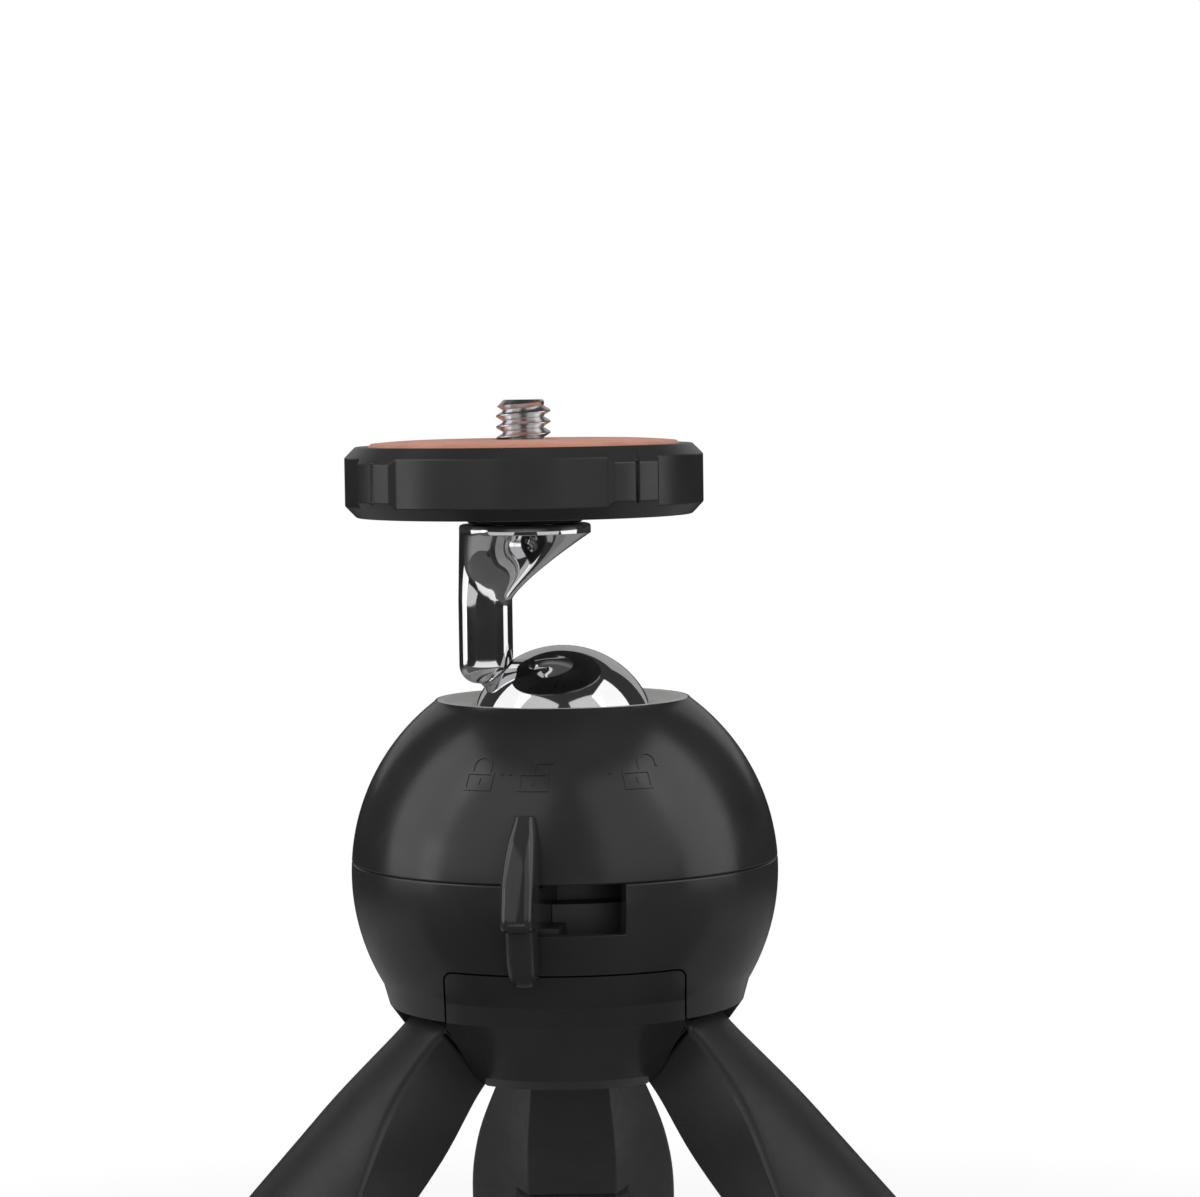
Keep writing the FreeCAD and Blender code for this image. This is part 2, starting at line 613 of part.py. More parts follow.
def make_arm():
    """Round bar on the ball that flares into the platform flange."""
    low = BALL_Z + ARM_BOTTOM
    start = BALL_Z + FLARE_START
    end = BALL_Z + FLARE_END
    bar = cylinder(ARM_R, low, start, ARM_X)
    foot_edge = [e for e in bar.Edges if e.BoundBox.ZMax < low + ARM_CORNER and e.Length > ARM_R]
    bar = bar.makeFillet(ARM_CORNER, foot_edge[:1])
    circles = []
    steps = 6
    for i in range(steps + 1):
        share = i / steps
        left = ARM_LEFT + (PLATFORM_X - FLANGE_R - ARM_LEFT) * share
        right = flare_right(share)
        centre = Vector((left + right) / 2.0, 0, start + (end - start) * share)
        circles.append(Part.Wire(Part.Circle(centre, Z_AXIS, (right - left) / 2.0).toShape()))
    flare = Part.makeLoft(circles, True, False)
    flange = cylinder(FLANGE_R, end, end + FLANGE_T, PLATFORM_X)
    rims = [e for e in flange.Edges if e.Length > FLANGE_R and e.Closed and len(e.Vertexes) == 1]
    flange = flange.makeFillet(FLANGE_EDGE, [e for e in rims if e.BoundBox.ZMin > end + FLANGE_EDGE])
    spigot = cylinder(SPIGOT_R, end + FLANGE_T - FUSE, spigot_top(), PLATFORM_X)
    arm = joined([bar, flare, flange, spigot])
    arm = arm.cut(Part.makeSphere(BALL_R + SEAT_GAP, BALL_AT))
    stud_hole = Part.makeCylinder(STUD_R + PART_GAP, STUD_IN_ARM + PART_GAP + OVER,
                                  BALL_AT + STEM * (BALL_R - OVER), STEM)
    screw_hole = cylinder(PIVOT_SCREW_R + PART_GAP, spigot_top() - PIVOT_SCREW_DEPTH,
                          spigot_top() + OVER, PLATFORM_X)
    return arm.cut(stud_hole).cut(screw_hole)


def make_arm_stud():
    start = BALL_AT + STEM * (BALL_R - STUD_IN_BALL)
    return Part.makeCylinder(STUD_R, STUD_IN_BALL + STUD_IN_ARM, start, STEM)


def spigot_top():
    return COLLAR_Z + SPIGOT_H


def pocket_floor():
    return spigot_top() - SLIDE_GAP - FRICTION_WASHER_T


def make_pivot_washer():
    low = spigot_top()
    return ring(PIVOT_WASHER_R, PIVOT_SCREW_R + PART_GAP, low, low + PIVOT_WASHER_T, PLATFORM_X)


def make_pivot_screw():
    screw = pan_screw(PIVOT_SCREW_R, PIVOT_SCREW_HEAD_R, PIVOT_SCREW_HEAD,
                      PIVOT_WASHER_T + PIVOT_SCREW_DEPTH - END_GAP)
    screw.translate(Vector(PLATFORM_X, 0, spigot_top() + PIVOT_WASHER_T))
    return screw


def make_friction_washer():
    low = pocket_floor()
    return ring(FRICTION_WASHER_R, SPIGOT_R + END_GAP, low, low + FRICTION_WASHER_T, PLATFORM_X)


def make_platform_collar():
    return revolve_points([
        (SPIGOT_R + RUN_FIT, COLLAR_Z),
        (COLLAR_FOOT_R, COLLAR_Z),
        (COLLAR_TOP_R, PLATFORM_Z),
        (SPIGOT_R + RUN_FIT, PLATFORM_Z),
    ], PLATFORM_X)


def grip_space():
    """Space in front of one sunk grip panel, with end walls that slope at 45 degrees."""
    floor_r = PLATFORM_R - GRIP_DEPTH
    far = PLATFORM_R + OVER
    half = GRIP_SPAN / 2.0
    far_half = half + math.degrees((far - floor_r) / PLATFORM_R)
    low = PLATFORM_Z - OVER
    near_left, near_mid, near_right = [at_radius(floor_r, a, low) for a in (-half, 0, half)]
    far_left, far_mid, far_right = [at_radius(far, a, low) for a in (-far_half, 0, far_half)]
    edges = [
        Part.Arc(near_left, near_mid, near_right),
        Part.LineSegment(near_right, far_right),
        Part.Arc(far_right, far_mid, far_left),
        Part.LineSegment(far_left, near_left),
    ]
    face = Part.Face(Part.Wire([e.toShape() for e in edges]))
    return face.extrude(Vector(0, 0, PLATFORM_H + 2 * OVER))


def make_platform():
    """Round platform with chamfered edges, sunk grip panels and pockets for pivot and screw."""
    pocket_z = pocket_floor()
    plug_z = PAD_Z - SCREW_FLANGE_T - PART_GAP
    platform = revolve_points([
        (SPIGOT_R + RUN_FIT, PLATFORM_Z),
        (PLATFORM_R - PLATFORM_FOOT_IN, PLATFORM_Z),
        (PLATFORM_R, PLATFORM_Z + PLATFORM_FOOT_RISE),
        (PLATFORM_R, PLATFORM_TOP_Z - PLATFORM_TOP_DROP),
        (PLATFORM_R - PLATFORM_TOP_IN, PLATFORM_TOP_Z),
        (PAD_R + PART_GAP, PLATFORM_TOP_Z),
        (PAD_R + PART_GAP, PAD_Z),
        (SCREW_FLANGE_R + PART_GAP, PAD_Z),
        (SCREW_FLANGE_R + PART_GAP, plug_z),
        (PIVOT_POCKET_R, plug_z),
        (PIVOT_POCKET_R, pocket_z),
        (SPIGOT_R + RUN_FIT, pocket_z),
    ])
    for i in range(GRIP_COUNT):
        azimuth = GRIP_AZ + i * 360.0 / GRIP_COUNT
        platform = platform.cut(turned(grip_space(), azimuth))
        at = at_radius(PLATFORM_R, azimuth + 180.0 / GRIP_COUNT, 0)
        platform = platform.cut(cylinder(GRIP_GROOVE_R, PLATFORM_Z - OVER, PLATFORM_TOP_Z + OVER, at.x, at.y))
    platform.translate(Vector(PLATFORM_X, 0, 0))
    return platform


def make_pad():
    low = PAD_Z
    edge_z = PAD_TOP_Z - PAD_DOME
    bore = SCREW_R + PAD_BORE_GAP
    top = Part.Arc(Vector(PAD_R - PAD_EDGE, 0, edge_z),
                   Vector((PAD_R - PAD_EDGE + PAD_FLAT_R) / 2.0, 0, PAD_TOP_Z - PAD_DOME / 4.0),
                   Vector(PAD_FLAT_R, 0, PAD_TOP_Z)).toShape()
    points = [(PAD_FLAT_R, PAD_TOP_Z), (bore, PAD_TOP_Z), (bore, low), (PAD_R, low),
              (PAD_R, edge_z - PAD_EDGE), (PAD_R - PAD_EDGE, edge_z)]
    corners = [Vector(r, 0, z) for r, z in points]
    lines = [Part.LineSegment(a, b).toShape() for a, b in zip(corners, corners[1:])]
    return revolve([top] + lines, PLATFORM_X)


def make_camera_screw():
    """Flanged stud: the flange is held in the platform under the pad."""
    low = PAD_Z - SCREW_FLANGE_T
    return revolve_points([
        (0, low),
        (SCREW_FLANGE_R, low),
        (SCREW_FLANGE_R, PAD_Z),
        (SCREW_NECK_R, PAD_Z),
        (SCREW_NECK_R, PAD_TOP_Z),
        (SCREW_R, PAD_TOP_Z),
        (SCREW_R, SCREW_TIP_Z - SCREW_CHAMFER),
        (SCREW_R - SCREW_CHAMFER, SCREW_TIP_Z),
        (0, SCREW_TIP_Z),
    ], PLATFORM_X)


# Hub

def petal_side_at(radius):
    """Angle between a leg's middle and the side face of a petal, at a radius."""
    lean = math.radians(PETAL_SIDE)
    return PETAL_SIDE - math.degrees(math.asin(PETAL_APEX_R * math.sin(lean) / radius))


def petal_room(gap):
    """Front of a petal at the front azimuth, grown by a gap and drawn inwards to the middle.

    Its top corners are rounded and its foot has sloping ends."""
    half = PETAL_HALF + gap
    top = PETAL_TOP_Z + gap
    corner = PETAL_CORNER + gap
    bend = corner * (1 - math.sqrt(0.5))
    far = -BODY_R - OVER
    right = [Vector(PETAL_FOOT_HALF, far, PETAL_BOTTOM_Z - gap),
             Vector(half, far, PETAL_BOTTOM_Z + PETAL_FOOT_RISE - gap),
             Vector(half, far, top - corner),
             Vector(half - bend, far, top - bend),
             Vector(half - corner, far, top)]
    left = [Vector(-p.x, p.y, p.z) for p in right]
    edges = [
        Part.LineSegment(right[0], right[1]),
        Part.LineSegment(right[1], right[2]),
        Part.Arc(right[2], right[3], right[4]),
        Part.LineSegment(right[4], left[4]),
        Part.Arc(left[4], left[3], left[2]),
        Part.LineSegment(left[2], left[1]),
        Part.LineSegment(left[1], left[0]),
        Part.LineSegment(left[0], right[0]),
    ]
    front = Part.Face(Part.Wire([e.toShape() for e in edges]))
    return front.extrude(Vector(0, -far, 0))


def stop_point(offset, along):
    """Point beside the outer face of an open leg, as (r, z)."""
    a = math.radians(LEG_OPEN)
    normal = (math.cos(a), math.sin(a))
    run = (math.sin(a), -math.cos(a))
    return (HINGE_R + offset * normal[0] + along * run[0], HINGE_Z + offset * normal[1] + along * run[1])


def leg_room():
    """Room for one leg in the hub at the front azimuth, from folded to open."""
    far = BODY_R + OVER
    floor_z = PETAL_BOTTOM_Z - LEG_OUTER
    clear = LEG_OUTER + BOSS_GAP
    start = math.radians(LEG_OPEN)
    arc = []
    steps = 12
    for i in range(steps + 1):
        a = start + (math.pi - start) * i / steps
        arc.append((HINGE_R + clear * math.cos(a), HINGE_Z + clear * math.sin(a)))
    stop_far = stop_point(LEG_OUTER + STOP_GAP, far)
    stop_near = stop_point(LEG_OUTER + STOP_GAP, OVER)
    outline = [(-OVER, floor_z), (stop_far[0], floor_z), stop_far, stop_near] + arc + [(-OVER, HINGE_Z)]
    straight = prism(outline, TONGUE_WIDTH / 2.0 + TONGUE_GAP)
    wide = prism(outline, BODY_R)
    spread = 2 * BODY_R
    half = spread * math.tan(math.radians(PETAL_SIDE))
    low = floor_z - OVER
    corners = [Vector(0, -PETAL_APEX_R, low), Vector(half, -PETAL_APEX_R - spread, low),
               Vector(-half, -PETAL_APEX_R - spread, low)]
    wedge = Part.Face(Part.makePolygon(corners + corners[:1])).extrude(Vector(0, 0, spread))
    return straight.fuse(wide.common(wedge)).removeSplitter()


def petal_outline():
    """Profile of the petals: flush with the body above, tapered to the folded legs below."""
    taper_r, taper_z = rim_start()
    top_r = math.sqrt(BODY_R ** 2 - PETAL_TOP_Z ** 2)
    bend_z = (PETAL_TOP_Z + taper_z) / 2.0
    bend_r = math.sqrt(BODY_R ** 2 - bend_z ** 2)
    side = Part.Arc(Vector(top_r, 0, PETAL_TOP_Z), Vector(bend_r, 0, bend_z), Vector(taper_r, 0, taper_z))
    points = [(taper_r, taper_z), (RIM_R, RIM_Z),
              (PETAL_BOTTOM_R + PETAL_EDGE_OUT, PETAL_BOTTOM_Z + PETAL_EDGE),
              (PETAL_BOTTOM_R - PETAL_EDGE_IN, PETAL_BOTTOM_Z),
              (0, PETAL_BOTTOM_Z), (0, PETAL_TOP_Z), (top_r, PETAL_TOP_Z)]
    corners = [Vector(r, 0, z) for r, z in points]
    return [side.toShape()] + [Part.LineSegment(a, b).toShape() for a, b in zip(corners, corners[1:])]


def hub_screw_top():
    """Top of the blind holes for the hub screws, in the floor of the housing."""
    return FLOOR_TOP_Z - OPEN_GAP


def hub_screw_hole(azimuth):
    at = at_radius(HUB_SCREW_CIRCLE, azimuth, 0)
    return cylinder(HUB_SCREW_R + PART_GAP, PETAL_BOTTOM_Z - OVER, hub_screw_top(), at.x, at.y)


def make_leg_hub():
    """Hub with three petals; the legs swing in the slots between them."""
    full = revolve(petal_outline())
    plate_r = mouth_radius() - HUB_IN_SHELL
    core = full.common(cylinder(plate_r, PETAL_BOTTOM_Z - OVER, PETAL_TOP_Z))
    petals = [full.common(turned(petal_room(0.0), azimuth)) for azimuth in PETAL_AZIMUTHS]
    hub = joined([core, cylinder(plate_r, PETAL_TOP_Z - FUSE, SHELF_Z)] + petals)
    for azimuth in LEG_AZIMUTHS:
        span = 2 * petal_side_at(BODY_R)
        under_rim = sector(BODY_R + OVER, span, azimuth, PETAL_BOTTOM_Z - OVER, RIM_Z)
        under_rim = under_rim.cut(cylinder(HINGE_R + LEG_OUTER, PETAL_BOTTOM_Z - 2 * OVER, RIM_Z + OVER))
        hub = hub.cut(under_rim)
        hub = hub.cut(turned(leg_room(), azimuth))
        hub = hub.cut(turned(pin_space(PART_GAP), azimuth))
    for azimuth in PETAL_AZIMUTHS:
        at = at_radius(HUB_SCREW_CIRCLE, azimuth, 0)
        hub = hub.cut(hub_screw_hole(azimuth))
        head_r = HUB_SCREW_HEAD_R + END_GAP
        hub = hub.cut(cylinder(head_r, PETAL_BOTTOM_Z - OVER, HUB_SCREW_SEAT_Z, at.x, at.y))
    return hub


def make_hub_screws():
    screws = []
    length = hub_screw_top() - HUB_SCREW_SEAT_Z - END_GAP
    for azimuth in PETAL_AZIMUTHS:
        screw = pan_screw(HUB_SCREW_R, HUB_SCREW_HEAD_R, HUB_SCREW_HEAD, length, head_up=False)
        screw.translate(at_radius(HUB_SCREW_CIRCLE, azimuth, HUB_SCREW_SEAT_Z))
        screws.append(screw)
    return group(screws)


def pin_space(gap):
    half = TONGUE_WIDTH / 2.0 + TONGUE_GAP + PIN_IN_HUB + gap
    return Part.makeCylinder(PIN_R + gap, 2 * half, Vector(-half, -HINGE_R, HINGE_Z), Vector(1, 0, 0))


# Legs

def leg_section(z, half, outer, inner, band):
    """Section of a folded leg at the front azimuth: flat band inside, slanting sides, round back."""
    side_r = math.sqrt(outer ** 2 - half ** 2)
    corner = Vector(half, -side_r, z)
    foot = Vector(band, -inner, z)
    toward = foot.sub(corner).normalize()
    on_side = corner + toward * LEG_CORNER
    turn = math.asin(half / outer) - LEG_CORNER / outer
    on_back = Vector(outer * math.sin(turn), -outer * math.cos(turn), z)
    middle = corner + (on_side + on_back - corner * 2) * 0.25
    points = [foot, on_side, middle, on_back]
    mirror = [Vector(-p.x, p.y, p.z) for p in points]
    back = Vector(0, -outer, z)
    edges = [
        Part.LineSegment(mirror[0], points[0]),
        Part.LineSegment(points[0], points[1]),
        Part.Arc(points[1], points[2], points[3]),
        Part.Arc(points[3], back, mirror[3]),
        Part.Arc(mirror[3], mirror[2], mirror[1]),
        Part.LineSegment(mirror[1], mirror[0]),
    ]
    return Part.Wire([e.toShape() for e in edges])


def station_z(share):
    start = HINGE_Z - TONGUE_LENGTH
    return start - share * (LEG_LENGTH - TONGUE_LENGTH)


def leg_size_at(z):
    """Half width, outer face, inner face and band of the leg at a height, between stations."""
    share = (station_z(0.0) - z) / (LEG_LENGTH - TONGUE_LENGTH)
    for near, far in zip(LEG_STATIONS, LEG_STATIONS[1:]):
        if share <= far[0] or far is LEG_STATIONS[-1]:
            part = (share - near[0]) / (far[0] - near[0])
            return [a + (b - a) * part for a, b in zip(near[1:], far[1:])]


def foot_form():
    """Rubber foot of a folded leg: a little fuller than the leg, with an end that draws in."""
    tip_z = HINGE_Z - LEG_LENGTH
    sizes = ((FOOT_LENGTH, FOOT_GROW), (FOOT_ROUND, FOOT_GROW),
             (FOOT_ROUND / 3.0, FOOT_GROW - FOOT_END_IN / 3.0), (0.0, -FOOT_END_IN))
    wires = []
    for rise, grow in sizes:
        half, outer, inner, band = leg_size_at(tip_z + rise)
        wires.append(leg_section(tip_z + rise, half + grow, outer + grow, inner - grow, band + grow / 2.0))
    return Part.makeLoft(wires, True, True)


def leg_form():
    """Whole folded leg at the front azimuth, without its cover split, cavity or foot."""
    wires = [leg_section(station_z(s), half, outer, inner, band)
             for s, half, outer, inner, band in LEG_STATIONS]
    body = Part.makeLoft(wires, True, False)
    half = TONGUE_WIDTH / 2.0
    outer = HINGE_R + LEG_OUTER
    boss = Part.makeCylinder(LEG_OUTER, TONGUE_WIDTH, Vector(-half, -HINGE_R, HINGE_Z), Vector(1, 0, 0))
    low = station_z(LEG_STATIONS[0][0]) - FUSE
    inner = HINGE_R - LEG_OUTER + FUSE
    tongue = prism([(inner, HINGE_Z), (outer, HINGE_Z), (outer, low), (inner, low)], half)
    tongue = boss.fuse(tongue).common(cylinder(outer, low, HINGE_Z + LEG_OUTER))
    return joined([tongue, body])


def leg_cavity():
    """Hollow of the moulded leg, closed by the cover on its inner side."""
    wires = []
    for s, half, outer, inner, band in HOLLOW_STATIONS:
        wires.append(leg_section(station_z(s), half - LEG_SIDE_WALL, outer - LEG_WALL,
                                 inner + FUSE, band - LEG_SIDE_WALL))
    return Part.makeLoft(wires, True, False)


def make_leg(azimuth):
    """Shell, cover and foot of one open leg."""
    form = leg_form()
    tip_z = HINGE_Z - LEG_LENGTH
    foot_z = tip_z + FOOT_LENGTH
    cover_top = HINGE_Z - COVER_START
    cover_box = block(-BODY_R, BODY_R, -COVER_R, 0, foot_z, cover_top)
    end_box = block(-BODY_R, BODY_R, -2 * BODY_R, BODY_R, tip_z - OVER, foot_z + PART_GAP)
    shell = form.cut(end_box).cut(cover_box).cut(leg_cavity())
    hole = Part.makeCylinder(PIN_R + RUN_FIT, 2 * TONGUE_WIDTH,
                             Vector(-TONGUE_WIDTH, -HINGE_R, HINGE_Z), Vector(1, 0, 0))
    shell = shell.cut(hole)
    cover_side = -COVER_R + PART_GAP
    cover = form.common(block(-BODY_R, BODY_R, cover_side, 0, foot_z + 2 * PART_GAP, cover_top - PART_GAP))
    hinge = Vector(0, -HINGE_R, HINGE_Z)
    opened = [turned(s, -LEG_OPEN, hinge, Vector(1, 0, 0)) for s in (shell, cover, foot_form())]
    floor_z = opened[2].BoundBox.ZMin + FOOT_TRIM
    reach = HINGE_R + LEG_LENGTH
    opened[2] = opened[2].cut(block(-reach, reach, -reach, reach, floor_z - FOOT_LENGTH, floor_z))
    return [turned(s, azimuth) for s in opened]


def make_hinge_pins():
    return [turned(pin_space(0.0), azimuth) for azimuth in LEG_AZIMUTHS]


def all_parts():
    parts = {
        "upper_shell": make_upper_shell(),
        "lower_shell": make_lower_shell(),
        "socket_ring": make_socket_ring(),
        "upper_ball_seat": make_upper_seat(),
        "socket_housing": make_housing(),
        "lower_ball_seat": make_lower_seat(),
        "ball": make_ball(),
        "cam_ring": make_cam_ring(),
        "pusher": make_pusher(),
        "disc_spring": make_disc_spring(),
        "lock_lever": make_lock_lever(),
        "lever_screws": make_lever_screws(),
        "arm": make_arm(),
        "arm_stud": make_arm_stud(),
        "pivot_washer": make_pivot_washer(),
        "pivot_screw": make_pivot_screw(),
        "friction_washer": make_friction_washer(),
        "platform_collar": make_platform_collar(),
        "platform": make_platform(),
        "platform_pad": make_pad(),
        "camera_screw": make_camera_screw(),
        "leg_hub": make_leg_hub(),
        "hub_screws": make_hub_screws(),
    }
    for number, pin in enumerate(make_hinge_pins(), 1):
        parts["hinge_pin_%d" % number] = pin
    for number, azimuth in enumerate(LEG_AZIMUTHS, 1):
        shell, cover, foot = make_leg(azimuth)
        parts["leg_%d" % number] = shell
        parts["leg_cover_%d" % number] = cover
        parts["foot_%d" % number] = foot
    return parts


def main():
    os.makedirs("parts", exist_ok=True)
    parts = all_parts()
    box = Part.makeCompound(list(parts.values())).optimalBoundingBox(False, False)
    shift = Vector(-box.Center.x, -box.Center.y, -box.ZMin)
    for name, shape in parts.items():
        shape.translate(shift)
        shape.exportStep(os.path.join("parts", name + ".step"))
        solids = shape.Solids
        print("%-18s solids %d valid %s volume %.1f" % (name, len(solids), shape.isValid(), shape.Volume))
    print("shift %.3f %.3f %.3f size %.2f %.2f %.2f" % (
        shift.x, shift.y, shift.z, box.XLength, box.YLength, box.ZLength))


main()
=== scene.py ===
import math

import bmesh
import bpy
from mathutils import Matrix, Vector


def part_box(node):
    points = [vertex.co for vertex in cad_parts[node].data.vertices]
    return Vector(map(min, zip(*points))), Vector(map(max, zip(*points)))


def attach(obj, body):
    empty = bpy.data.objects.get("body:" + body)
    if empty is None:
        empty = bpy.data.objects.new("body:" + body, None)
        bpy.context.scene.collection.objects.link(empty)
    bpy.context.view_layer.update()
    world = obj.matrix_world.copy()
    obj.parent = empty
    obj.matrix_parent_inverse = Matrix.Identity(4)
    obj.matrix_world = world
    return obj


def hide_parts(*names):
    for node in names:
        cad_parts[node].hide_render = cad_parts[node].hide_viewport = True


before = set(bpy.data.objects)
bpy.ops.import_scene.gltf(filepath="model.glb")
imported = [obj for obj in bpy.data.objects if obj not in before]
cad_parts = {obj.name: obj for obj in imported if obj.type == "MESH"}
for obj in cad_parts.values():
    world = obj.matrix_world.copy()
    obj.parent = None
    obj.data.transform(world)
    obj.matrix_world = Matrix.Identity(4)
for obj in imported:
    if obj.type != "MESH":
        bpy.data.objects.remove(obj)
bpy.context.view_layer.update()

# Every piece made here is shaped in millimetres about the middle of the ball-shaped body, with
# the front at -Y, and its mesh is then scaled and moved into the frame.
MM = 0.001
SEAM_Z = 1.5
low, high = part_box("upper_shell")
BODY_AT = Vector(((low.x + high.x) / 2, (low.y + high.y) / 2, low.z - SEAM_Z * MM))
TO_FRAME = Matrix.Translation(BODY_AT) @ Matrix.Scale(MM, 4)
FLOOR_Z = -BODY_AT.z / MM

FIT = 0.05              # gap between pieces that fit into each other
HAIR = 0.02             # step between faces that would lie in one plane
OVER = 1.0              # how far a cutting form passes what it cuts

# Body
BODY_R = 25.0
BODY_WALL = 2.0
HOLLOW_R = BODY_R - BODY_WALL
SEAM_R = math.sqrt(BODY_R ** 2 - SEAM_Z ** 2)
SEAM_EDGE = 0.16
NECK_R = 14.7
NECK_Z = 20.25
NECK_EDGE = 0.12
NECK_ROUND = 1.2        # degrees from the end of the ball shape to the neck's edge
NECK_STEP = 0.8
NECK_LEDGE = 1.2
NECK_ROOF = 1.2
RIM_R = 20.8
RIM_Z = -15.2
RIM_TAPER = 2.4
SHELF_Z = -8.4
SHELF = 1.5
SHELF_BORE = 7.0
PETAL_HALF = 13.5
PETAL_CORNER = 0.9
PETAL_TOP_Z = -9.0
PETAL_GAP = 0.17

# Padlock signs on the upper shell
MARK_FOOT = 28.1        # degrees above the level
MARK_WIDTH = 3.1
MARK_HEIGHT = 1.95
MARK_LINE = 0.4
MARK_CREST = 0.7        # width of a line's top, as a share of its foot
MARK_RISE = 0.09
MARK_SINK = 0.15
MARK_STEP = 0.4         # length of a line's pieces, short enough to follow the shell
MARK_AZIMUTHS = (-25.5, -8.5, 23.2)
DOT_AZIMUTHS = (-18.4, -15.8, 14.8)
DOT_WIDTH = 0.3
KEYHOLE_LOW = 0.65
KEYHOLE_HIGH = 1.35
SHACKLE_RISE = 0.95
SHACKLE_R = 1.1

# Ball, its ring and the arm
BALL_R = 11.1
BALL_DROP = 5.0         # from the neck's edge down to the ball's middle
BALL_Z = NECK_Z - BALL_DROP
RING_RIM = 0.7
RING_DISH = 0.75
RING_LIP = 0.9
RING_LIP_EDGE = 0.3
RING_LIP_LAND = 0.5
RING_BORE_R = 12.65
RING_FOOT = 1.4
SEAT_GAP = 0.12
STEM_TILT = 45.0
STUD_R = 2.05
STUD_IN_BALL = 8.05
ARM_LEFT = -12.0
ARM_R = 3.15
ARM_BOTTOM = 6.8
ARM_CORNER = 2.2
BAR_FLATNESS = 2.7
FLARE_START = 16.6
FLARE_END = 24.3
FLARE_OUT_POWER = 1.25  # above 1, the right side runs out late
FLARE_DEPTH_POWER = 2.6
FLANGE_R = 7.7
FLANGE_T = 1.1
FLANGE_EDGE = 0.35
FLANGE_EDGE_MIDDLE = 0.1  # how far the rounded edge's middle lies in from both faces
FLANGE_SHIFT = 0.2      # from the bar's left side to the flange's
SPIGOT_R = 4.5
SPIGOT_H = 4.0

# Platform
PLATFORM_X = ARM_LEFT + FLANGE_R + FLANGE_SHIFT
PLATFORM_R = 21.5
PLATFORM_H = 8.2
PLATFORM_TOP_DROP = 1.85
PLATFORM_TOP_IN = 1.85
PLATFORM_FOOT_RISE = 2.0
PLATFORM_FOOT_IN = 1.9
COLLAR_GAP = 0.1
COLLAR_Z = BALL_Z + FLARE_END + FLANGE_T + COLLAR_GAP
COLLAR_H = 0.9
COLLAR_FOOT_R = 6.5
COLLAR_R = 7.55
PLATFORM_Z = COLLAR_Z + COLLAR_H
PLATFORM_TOP_Z = PLATFORM_Z + PLATFORM_H
POCKET_R = 8.8
SPIGOT_IN_POCKET = 0.6
PAD_R = 18.2
PAD_SINK = 1.0
PAD_RISE = 0.65
PAD_FLAT_R = 12.0
PAD_DOME = 0.3
PAD_EDGE = 0.4
PAD_BORE_GAP = 0.4
PAD_TOP_Z = PLATFORM_TOP_Z + PAD_RISE
SCREW_R = 3.175
SCREW_ROOT_R = 2.4
SCREW_PITCH = 1.27
SCREW_ROUND = 0.06      # of the thread's root
SCREW_CREST_ROUND = 0.08
SCREW_ABOVE_PAD = 4.6
SCREW_TIP_Z = PAD_TOP_Z + SCREW_ABOVE_PAD
SCREW_CHAMFER = 0.9
SCREW_IN_PAD = 0.5
SCREW_NECK_R = 2.3
SCREW_FLANGE_R = 10.5
SCREW_FLANGE_H = 1.4
GRIP_COUNT = 4
GRIP_AZ = -7.5
GRIP_SPAN = 70.0
GRIP_DEPTH = 0.6
GRIP_GROOVE_R = 0.25

# Lever
LEVER_AZ = -10.0
LEVER_WIDTH = 3.7
LEVER_TOP_WIDTH = 2.2
LEVER_TAIL_WIDTH = 3.2
LEVER_STEP_Z = -3.0     # underside of the blade, where the tail starts
LEVER_OVERLAP = 0.5     # how far the tail reaches up into the blade
LEVER_CORNER = 1.25
LEVER_BACK_R = 21.0     # the handle's form starts inside the shell, where it is cut away
LEVER_TOP = 9.2
LEVER_REACH = 5.6
LEVER_BOTTOM = -9.7
LEVER_TRAVEL = 21.0
SHANK_WIDTH = 3.2
SHANK_INNER_R = 13.5
SHANK_OUTER_R = BODY_R + 2.0
OPEN_GAP = 0.5
SLOT_DEPTH = 5.7
SLOT_INNER_R = 17.0
SLOT_REACH = math.degrees(math.asin((SHANK_WIDTH / 2 + OPEN_GAP) / HOLLOW_R))
SLOT_FROM = LEVER_AZ - SLOT_REACH
SLOT_TO = LEVER_AZ + LEVER_TRAVEL + SLOT_REACH

# Legs
LEG_AZIMUTHS = (60.0, 180.0, 300.0)
PETAL_AZIMUTHS = (0.0, 120.0, 240.0)
HINGE_R = 11.7
HINGE_Z = -15.0
LEG_OPEN = 48.0
LEG_OUTER = 4.2
TONGUE_WIDTH = 9.4
TONGUE_LENGTH = 9.0
TONGUE_IN = 0.5         # the inner face stands this far outside the boss's innermost line
TONGUE_OVERLAP = 0.5
LEG_LENGTH = 105.0
LEG_CORNER = 0.8
COVER_T = 1.2
COVER_START = 38.0
FOOT_LENGTH = 12.0
FOOT_GROW = 0.15
FOOT_BAND_GROW = 0.6    # growth of the inner band's half width, as a share of the foot's
FOOT_END_IN = 1.7
FOOT_ROUND = 2.0
# Share of the way to the tip, half width, outer face, inner face, half width of the band
LEG_STATIONS = (
    (-0.035, 4.7, 16.00, 6.80, 4.6),
    (0.00, 4.7, 16.00, 6.30, 4.6),
    (0.08, 6.3, 16.10, 4.60, 5.0),
    (0.18, 9.8, 15.95, 3.70, 5.5),
    (0.27, 12.4, 15.85, 3.50, 5.6),
    (0.39, 13.4, 15.85, 3.50, 5.6),
    (0.60, 13.0, 15.50, 3.60, 5.6),
    (0.82, 11.3, 14.50, 4.40, 5.4),
    (1.00, 8.6, 13.20, 6.00, 4.6),
)

